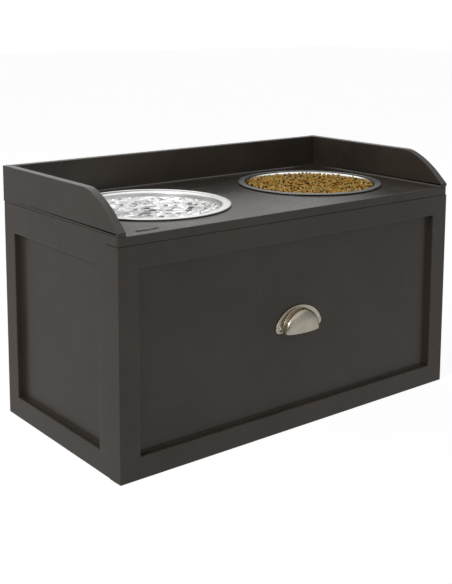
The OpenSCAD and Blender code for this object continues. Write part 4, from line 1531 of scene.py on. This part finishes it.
@dataclass
class Water:
    """Water in a bowl, disturbed by a few crossing waves."""

    level: float = 0.3056
    overlap: float = 0.0004
    rings: int = 60
    spokes: int = 180
    seed: int = 31
    waves: int = 16
    height: float = 0.00042
    lengths: Point2 = (0.009, 0.042)
    usual_length: float = 0.03
    strengths: Point2 = (0.4, 1.0)
    sharpness: float = 1.4
    calm_edge: float = 0.006
    edge_share: float = 0.25
    climb: float = 0.0009
    climb_reach: float = 0.0016
    side_heights: Point3 = (0.298, 0.288, 0.276)

    def surface(self, draws: random.Random) -> Callable[[float, float], float]:
        """Returns the height of the waves as a function of place, from random draws."""
        parts = []
        for _ in range(self.waves):
            length, turn = draws.uniform(*self.lengths), draws.uniform(0, 2 * math.pi)
            pitch = 2 * math.pi / length
            phase = draws.uniform(0, 2 * math.pi)
            size = (length / self.usual_length) * draws.uniform(*self.strengths)
            parts.append((pitch * math.cos(turn), pitch * math.sin(turn), phase, size))

        def height_at(u: float, v: float) -> float:
            """Returns the sum of the waves, with crests sharper than troughs."""
            total = sum(size * (1 - 2 * abs(math.sin((ku * u + kv * v + phase) / 2))
                                ** self.sharpness) for ku, kv, phase, size in parts)
            return self.height * total / math.sqrt(self.waves)

        return height_at

    def build(self, bowl: Bowl) -> None:
        """Fills the bowl; the sides and the base sink a little into the steel."""
        height_at = self.surface(random.Random(self.seed))
        rim = bowl.wall_radius(self.level) + self.overlap
        work = bmesh.new()
        rows = [ring(work, bowl.x, 0.0, self.level + height_at(0.0, 0.0), self.spokes)]
        for k in range(1, self.rings + 1):
            r = rim * k / self.rings
            fade = min(1.0, (rim - r) / self.calm_edge + self.edge_share)
            level = self.level + self.climb * math.exp(-(rim - r) / self.climb_reach)
            rows.append(wavy_ring(work, bowl.x, r, self.spokes,
                                  lambda u, v: level + fade * height_at(u, v)))
        side = [(bowl.wall_radius(z) + self.overlap, z) for z in self.side_heights]
        side += arc(bowl.corner_x, bowl.corner_z, bowl.corner_radius + self.overlap, -12, -90, 12)
        side += bowl.floor_skin(-self.overlap)
        rows += [ring(work, bowl.x, r, z, self.spokes) for r, z in side]
        skin(work, rows)
        finished("drinking_water", work, WATER, f"bowl_{bowl.side}", crease=60, weighted=False)


@dataclass
class Kibble:
    """Dry food heaped in a bowl: baked pellets, each with its own size, lie and tint.

    Each layer is given by its depth, the least distance between its pellets and their usual tone;
    the low tones of the lower layers are painted shade.
    """

    level: float = 0.3118
    mound: float = 0.0012
    mound_radius: float = 0.096
    hump: float = 0.0007
    # The lower layers' low tones are painted shade under the top layer.
    layers: tuple[Point3, ...] = ((-0.0048, 0.0052, 0.0), (-0.0026, 0.0054, 0.10),
                                  (0.0, 0.0049, 0.68))
    length: Point2 = (0.0058, 0.0090)
    girth: Point2 = (0.0024, 0.0033)
    seed: int = 7
    sides: int = 7
    edge_gap: float = 0.0022
    shape: tuple[Point2, ...] = ((-0.86, 0.62), (-0.5, 0.96), (0.0, 1.05), (0.5, 0.96),
                                 (0.86, 0.62))
    bed_rings: int = 16
    bed_spokes: int = 64
    bed_drop: float = 0.0064
    bed_gap: float = 0.0004
    bed_depth: float = 0.002
    bed_rise: Point2 = (-0.0005, 0.0005)
    lie_rise: Point2 = (-0.0011, 0.0009)

    def build(self, bowl: Bowl) -> None:
        """Lays the pellets in layers over a dark sheet of painted shade and joins them into one
        piece.

        Args:
            bowl: The bowl that holds them.
        """
        draws = random.Random(self.seed)
        work = bmesh.new()
        tint = work.verts.layers.float.new("tint")
        for depth, spacing, shade in self.layers:
            reach = bowl.wall_radius(self.level + depth) - self.edge_gap
            for u, v in self.scatter(reach, spacing, draws):
                z = self.surface(u, v) + depth + draws.uniform(*self.lie_rise)
                self.pellet(work, tint, Vector((bowl.x + u, v, z)), shade, draws)
        # A dark sheet of painted shade closes the gaps under the pellets.
        self.shade_bed(work, bowl, draws)
        finished("kibble", work, KIBBLE, f"bowl_{bowl.side}", crease=70, weighted=False)

    def surface(self, u: float, v: float) -> float:
        """Returns the height of the heap at a place."""
        hump = self.hump * math.sin(60 * u + 1.0) * math.cos(52 * v)
        return self.level + self.mound * (1 - (math.hypot(u, v) / self.mound_radius) ** 2) + hump

    def scatter(self, radius: float, spacing: float, draws: random.Random) -> list[Point2]:
        """Returns places in a circle that keep a distance from each other.

        Args:
            radius: The circle's radius.
            spacing: The least distance between two places.
            draws: Source of random numbers.

        Returns:
            The places.
        """
        cell, tries = spacing / math.sqrt(2), int(14 * (radius / spacing) ** 2)
        steps = range(-2, 3)
        taken: dict[tuple[int, int], Point2] = {}
        for _ in range(tries):
            r, turn = radius * math.sqrt(draws.random()), draws.uniform(0, 2 * math.pi)
            u, v = r * math.cos(turn), r * math.sin(turn)
            i, j = math.floor(u / cell), math.floor(v / cell)
            near = (taken.get((i + a, j + b)) for a in steps for b in steps)
            if all(p is None or math.hypot(p[0] - u, p[1] - v) >= spacing for p in near):
                taken[(i, j)] = (u, v)
        return list(taken.values())

    def pellet(self, work: Mesh, tint: bmesh.types.BMLayerItem, centre: Vector, tone: float,
               draws: random.Random) -> None:
        """Adds one pellet: a short bent sausage with blunt, uneven ends.

        Args:
            work: The mesh to add to.
            tint: Its attribute for the crust's tone.
            centre: The pellet's middle.
            tone: The layer's usual tone, from 0 for painted shade to 1.
            draws: Source of random numbers.
        """
        long, thick = draws.uniform(*self.length) / 2, draws.uniform(*self.girth) / 2
        flat = draws.uniform(0.78, 1.0)
        bend = draws.uniform(-0.25, 0.25) * thick
        lie = Matrix.Rotation(draws.uniform(0, math.pi), 3, "Z") @ \
            Matrix.Rotation(draws.gauss(0, 0.30), 3, "Y") @ \
            Matrix.Rotation(draws.uniform(0, math.pi), 3, "X")
        shade = min(max(draws.gauss(tone, 0.35 * tone), 0.0), 1.0)
        rows = []
        for along, share in self.shape:
            row = []
            for turn in turns_round(self.sides):
                r = thick * share * draws.uniform(0.88, 1.1)
                row.append(Vector((long * along, r * math.cos(turn),
                                   r * flat * math.sin(turn) + bend * (1 - along ** 2) * 2)))
            rows.append([work.verts.new(centre + lie @ place) for place in row])
        tips = ([work.verts.new(centre + lie @ Vector((end, 0.0, 0.0)))] * self.sides
                for end in (-long, long))
        rows = [next(tips), *rows, next(tips)]
        skin(work, rows)
        for row in rows:
            for vert in row:
                vert[tint] = shade

    def shade_bed(self, work: Mesh, bowl: Bowl, draws: random.Random) -> None:
        """Adds a dark sheet of painted shade that closes the gaps below the pellets.

        Args:
            work: The mesh to add to.
            bowl: The bowl that holds them.
            draws: Source of random numbers.
        """
        def shade_sheet_height(u: float, v: float) -> float:
            """Returns the height of the shade sheet at a place, uneven by a random draw."""
            return self.surface(u, v) - self.bed_drop + draws.uniform(*self.bed_rise)

        radius = bowl.wall_radius(self.level - self.bed_drop) - self.bed_gap
        middle = self.surface(0.0, 0.0) - self.bed_drop
        rows = [ring(work, bowl.x, 0.0, middle, self.bed_spokes)]
        rows += [wavy_ring(work, bowl.x, radius * k / self.bed_rings, self.bed_spokes, shade_sheet_height)
                 for k in range(1, self.bed_rings + 1)]
        lower = [work.verts.new((vert.co.x, vert.co.y, vert.co.z - self.bed_depth))
                 for vert in rows[-1]]
        skin(work, rows + [lower])
        work.faces.new(lower)


# The studio


@dataclass(frozen=True)
class Glow:
    """A broad soft patch of light in the room: where it lies, how tight and how bright."""

    toward: Point3
    tightness: float
    level: float


@dataclass(frozen=True)
class SoftBox:
    """A soft lamp that looks at the cabinet: where it lies, how far, how large, how bright."""

    name: str
    toward: Point3
    distance: float
    size: Point2
    level: float


@dataclass
class Studio:
    """Pale floor, soft light and the camera at the photograph's angle."""

    place: Point3 = (-0.92819, -1.14538, 0.57600)
    heading: float = 38.07
    pitch: float = 8.20
    roll: float = 0.17
    lens: float = 62.29
    sensor: float = 36.0
    shift: Point2 = (0.0127, -0.228)
    clip: Point2 = (0.05, 60.0)
    sky: float = 0.05
    ceiling: float = 1.0
    ceiling_in_gloss: Point2 = (0.42, 0.78)
    ceiling_in_water: Point2 = (0.08, 0.40)
    glows: tuple[Glow, ...] = (
        Glow((0.56, 0.81, 0.17), 16.0, 0.95), Glow((-0.70, 0.75, 0.12), 4.0, 0.65),
        Glow((0.10, -1.0, 0.25), 3.0, 0.321), Glow((1.0, -0.1, 0.25), 3.0, 0.15))
    boxes: tuple[SoftBox, ...] = (
        SoftBox("back_box", (0.50, 0.70, 0.68), 2.4, (1.3, 0.7), 0.984),
        SoftBox("side_box", (-1.0, -0.3, 0.6), 2.2, (0.5, 0.5), 12.2))
    aim: Point3 = (0.0, 0.0, 0.3)
    floor_size: float = 24.0
    floor_light: float = 0.448
    floor_white: float = 0.88
    floor_tone: float = 0.50

    def build(self) -> None:
        """Sets up camera, world, lamps and floor."""
        bpy.context.scene.view_settings.view_transform = "Standard"
        self.camera()
        self.world()
        for box in self.boxes:
            self.lamp(box)
        self.floor()

    def add(self, name: str, data: bpy.types.ID) -> bpy.types.Object:
        """Puts a camera, lamp or mesh into the scene and returns its object."""
        made = bpy.data.objects.new(name, data)
        bpy.context.scene.collection.objects.link(made)
        return made

    def camera(self) -> None:
        """Places the camera at the photograph's viewpoint."""
        lens = bpy.data.cameras.new("camera")
        lens.sensor_width, lens.lens = self.sensor, self.lens
        lens.shift_x, lens.shift_y = self.shift
        lens.clip_start, lens.clip_end = self.clip
        camera = self.add("camera", lens)
        turn = Matrix.Rotation(math.radians(-self.heading), 4, "Z") @ \
            Matrix.Rotation(math.radians(90 - self.pitch), 4, "X") @ \
            Matrix.Rotation(math.radians(self.roll), 4, "Z")
        camera.matrix_world = Matrix.Translation(self.place) @ turn
        bpy.context.scene.camera = camera

    def world(self) -> None:
        """Lights the room with soft glows; the camera sees white, gloss and water a ceiling."""
        world = bpy.data.worlds.new("studio")
        world.use_nodes = True
        world.node_tree.nodes.clear()
        graph = Graph(world.node_tree)
        way = graph.node("ShaderNodeTexCoord").outputs["Generated"]
        up = graph.axis(way, "Z")
        total = self.sky
        for glow in self.glows:
            toward = tuple(Vector(glow.toward).normalized())
            near = graph.vector_math("DOT_PRODUCT", way, toward, output="Value")
            near = graph.math("POWER", graph.math("MAXIMUM", near, 0.0), glow.tightness)
            total = graph.plus(graph.times(near, glow.level), total)
        path = graph.node("ShaderNodeLightPath").outputs
        seen = [graph.times(graph.spread(up, *band, to_high=self.ceiling), path[ray])
                for band, ray in ((self.ceiling_in_gloss, "Is Glossy Ray"),
                                  (self.ceiling_in_water, "Is Transmission Ray"))]
        level = graph.times(graph.plus(total, graph.math("MAXIMUM", *seen)),
                            graph.math("GREATER_THAN", up, 0.0))
        light, white = (graph.node("ShaderNodeBackground", {"Color": WHITE, "Strength": strength})
                        for strength in (level, 1.0))
        both = graph.node("ShaderNodeMixShader", {0: path["Is Camera Ray"], 1: light.outputs[0],
                                                  2: white.outputs[0]})
        graph.node("ShaderNodeOutputWorld", {"Surface": both.outputs[0]})
        bpy.context.scene.world = world

    def lamp(self, box: SoftBox) -> None:
        """Hangs one soft box; its power follows from its brightness and its area.

        Args:
            box: The soft box.
        """
        light = bpy.data.lights.new(box.name, "AREA")
        light.shape = "RECTANGLE"
        light.size, light.size_y = box.size
        light.energy = math.pi * box.size[0] * box.size[1] * box.level
        lamp = self.add(box.name, light)
        toward = Vector(box.toward).normalized()
        lamp.location = Vector(self.aim) + toward * box.distance
        lamp.rotation_euler = (-toward).to_track_quat("-Z", "Y").to_euler()
        lamp.visible_camera = False

    def floor(self) -> None:
        """Lays the floor: white with a soft shadow to the camera, grey to what stands on it."""
        half, tone = self.floor_size / 2, self.floor_tone
        mesh = bpy.data.meshes.new("floor")
        corners = [(-half, -half, 0), (half, -half, 0), (half, half, 0), (-half, half, 0)]
        mesh.from_pydata(corners, [], [(0, 1, 2, 3)])
        made = bpy.data.materials.new("pale_floor")
        made.use_nodes = True
        made.node_tree.nodes.clear()
        graph = Graph(made.node_tree)
        matt = graph.node("ShaderNodeBsdfDiffuse", {"Color": rgba((tone, tone, tone))})
        glow, lit = (graph.node("ShaderNodeEmission", {"Color": WHITE, "Strength": strength})
                     for strength in (self.floor_white, self.floor_light))
        shown = graph.node("ShaderNodeAddShader", {0: matt.outputs[0], 1: glow.outputs[0]})
        seen = graph.node("ShaderNodeLightPath").outputs["Is Camera Ray"]
        both = graph.node("ShaderNodeMixShader", {0: seen, 1: lit.outputs[0], 2: shown.outputs[0]})
        graph.node("ShaderNodeOutputMaterial", {"Surface": both.outputs[0]})
        mesh.materials.append(made)
        floor = self.add("floor", mesh)


def main() -> None:
    """Builds the studio, the cabinet, the drawer and the bowls in order."""
    logging.basicConfig(level=logging.INFO, format="%(name)s: %(message)s")
    Studio().build()
    cabinet = Cabinet()
    cabinet.build()
    Drawer().build(cabinet)
    CupPull().build()
    Runners().build()
    left = Bowl("left", LEFT_STEEL, -0.15)
    right = Bowl("right", RIGHT_STEEL, 0.15)
    left.build()
    right.build()
    Water().build(left)
    Kibble().build(right)


if __name__ == "__main__":
    main()
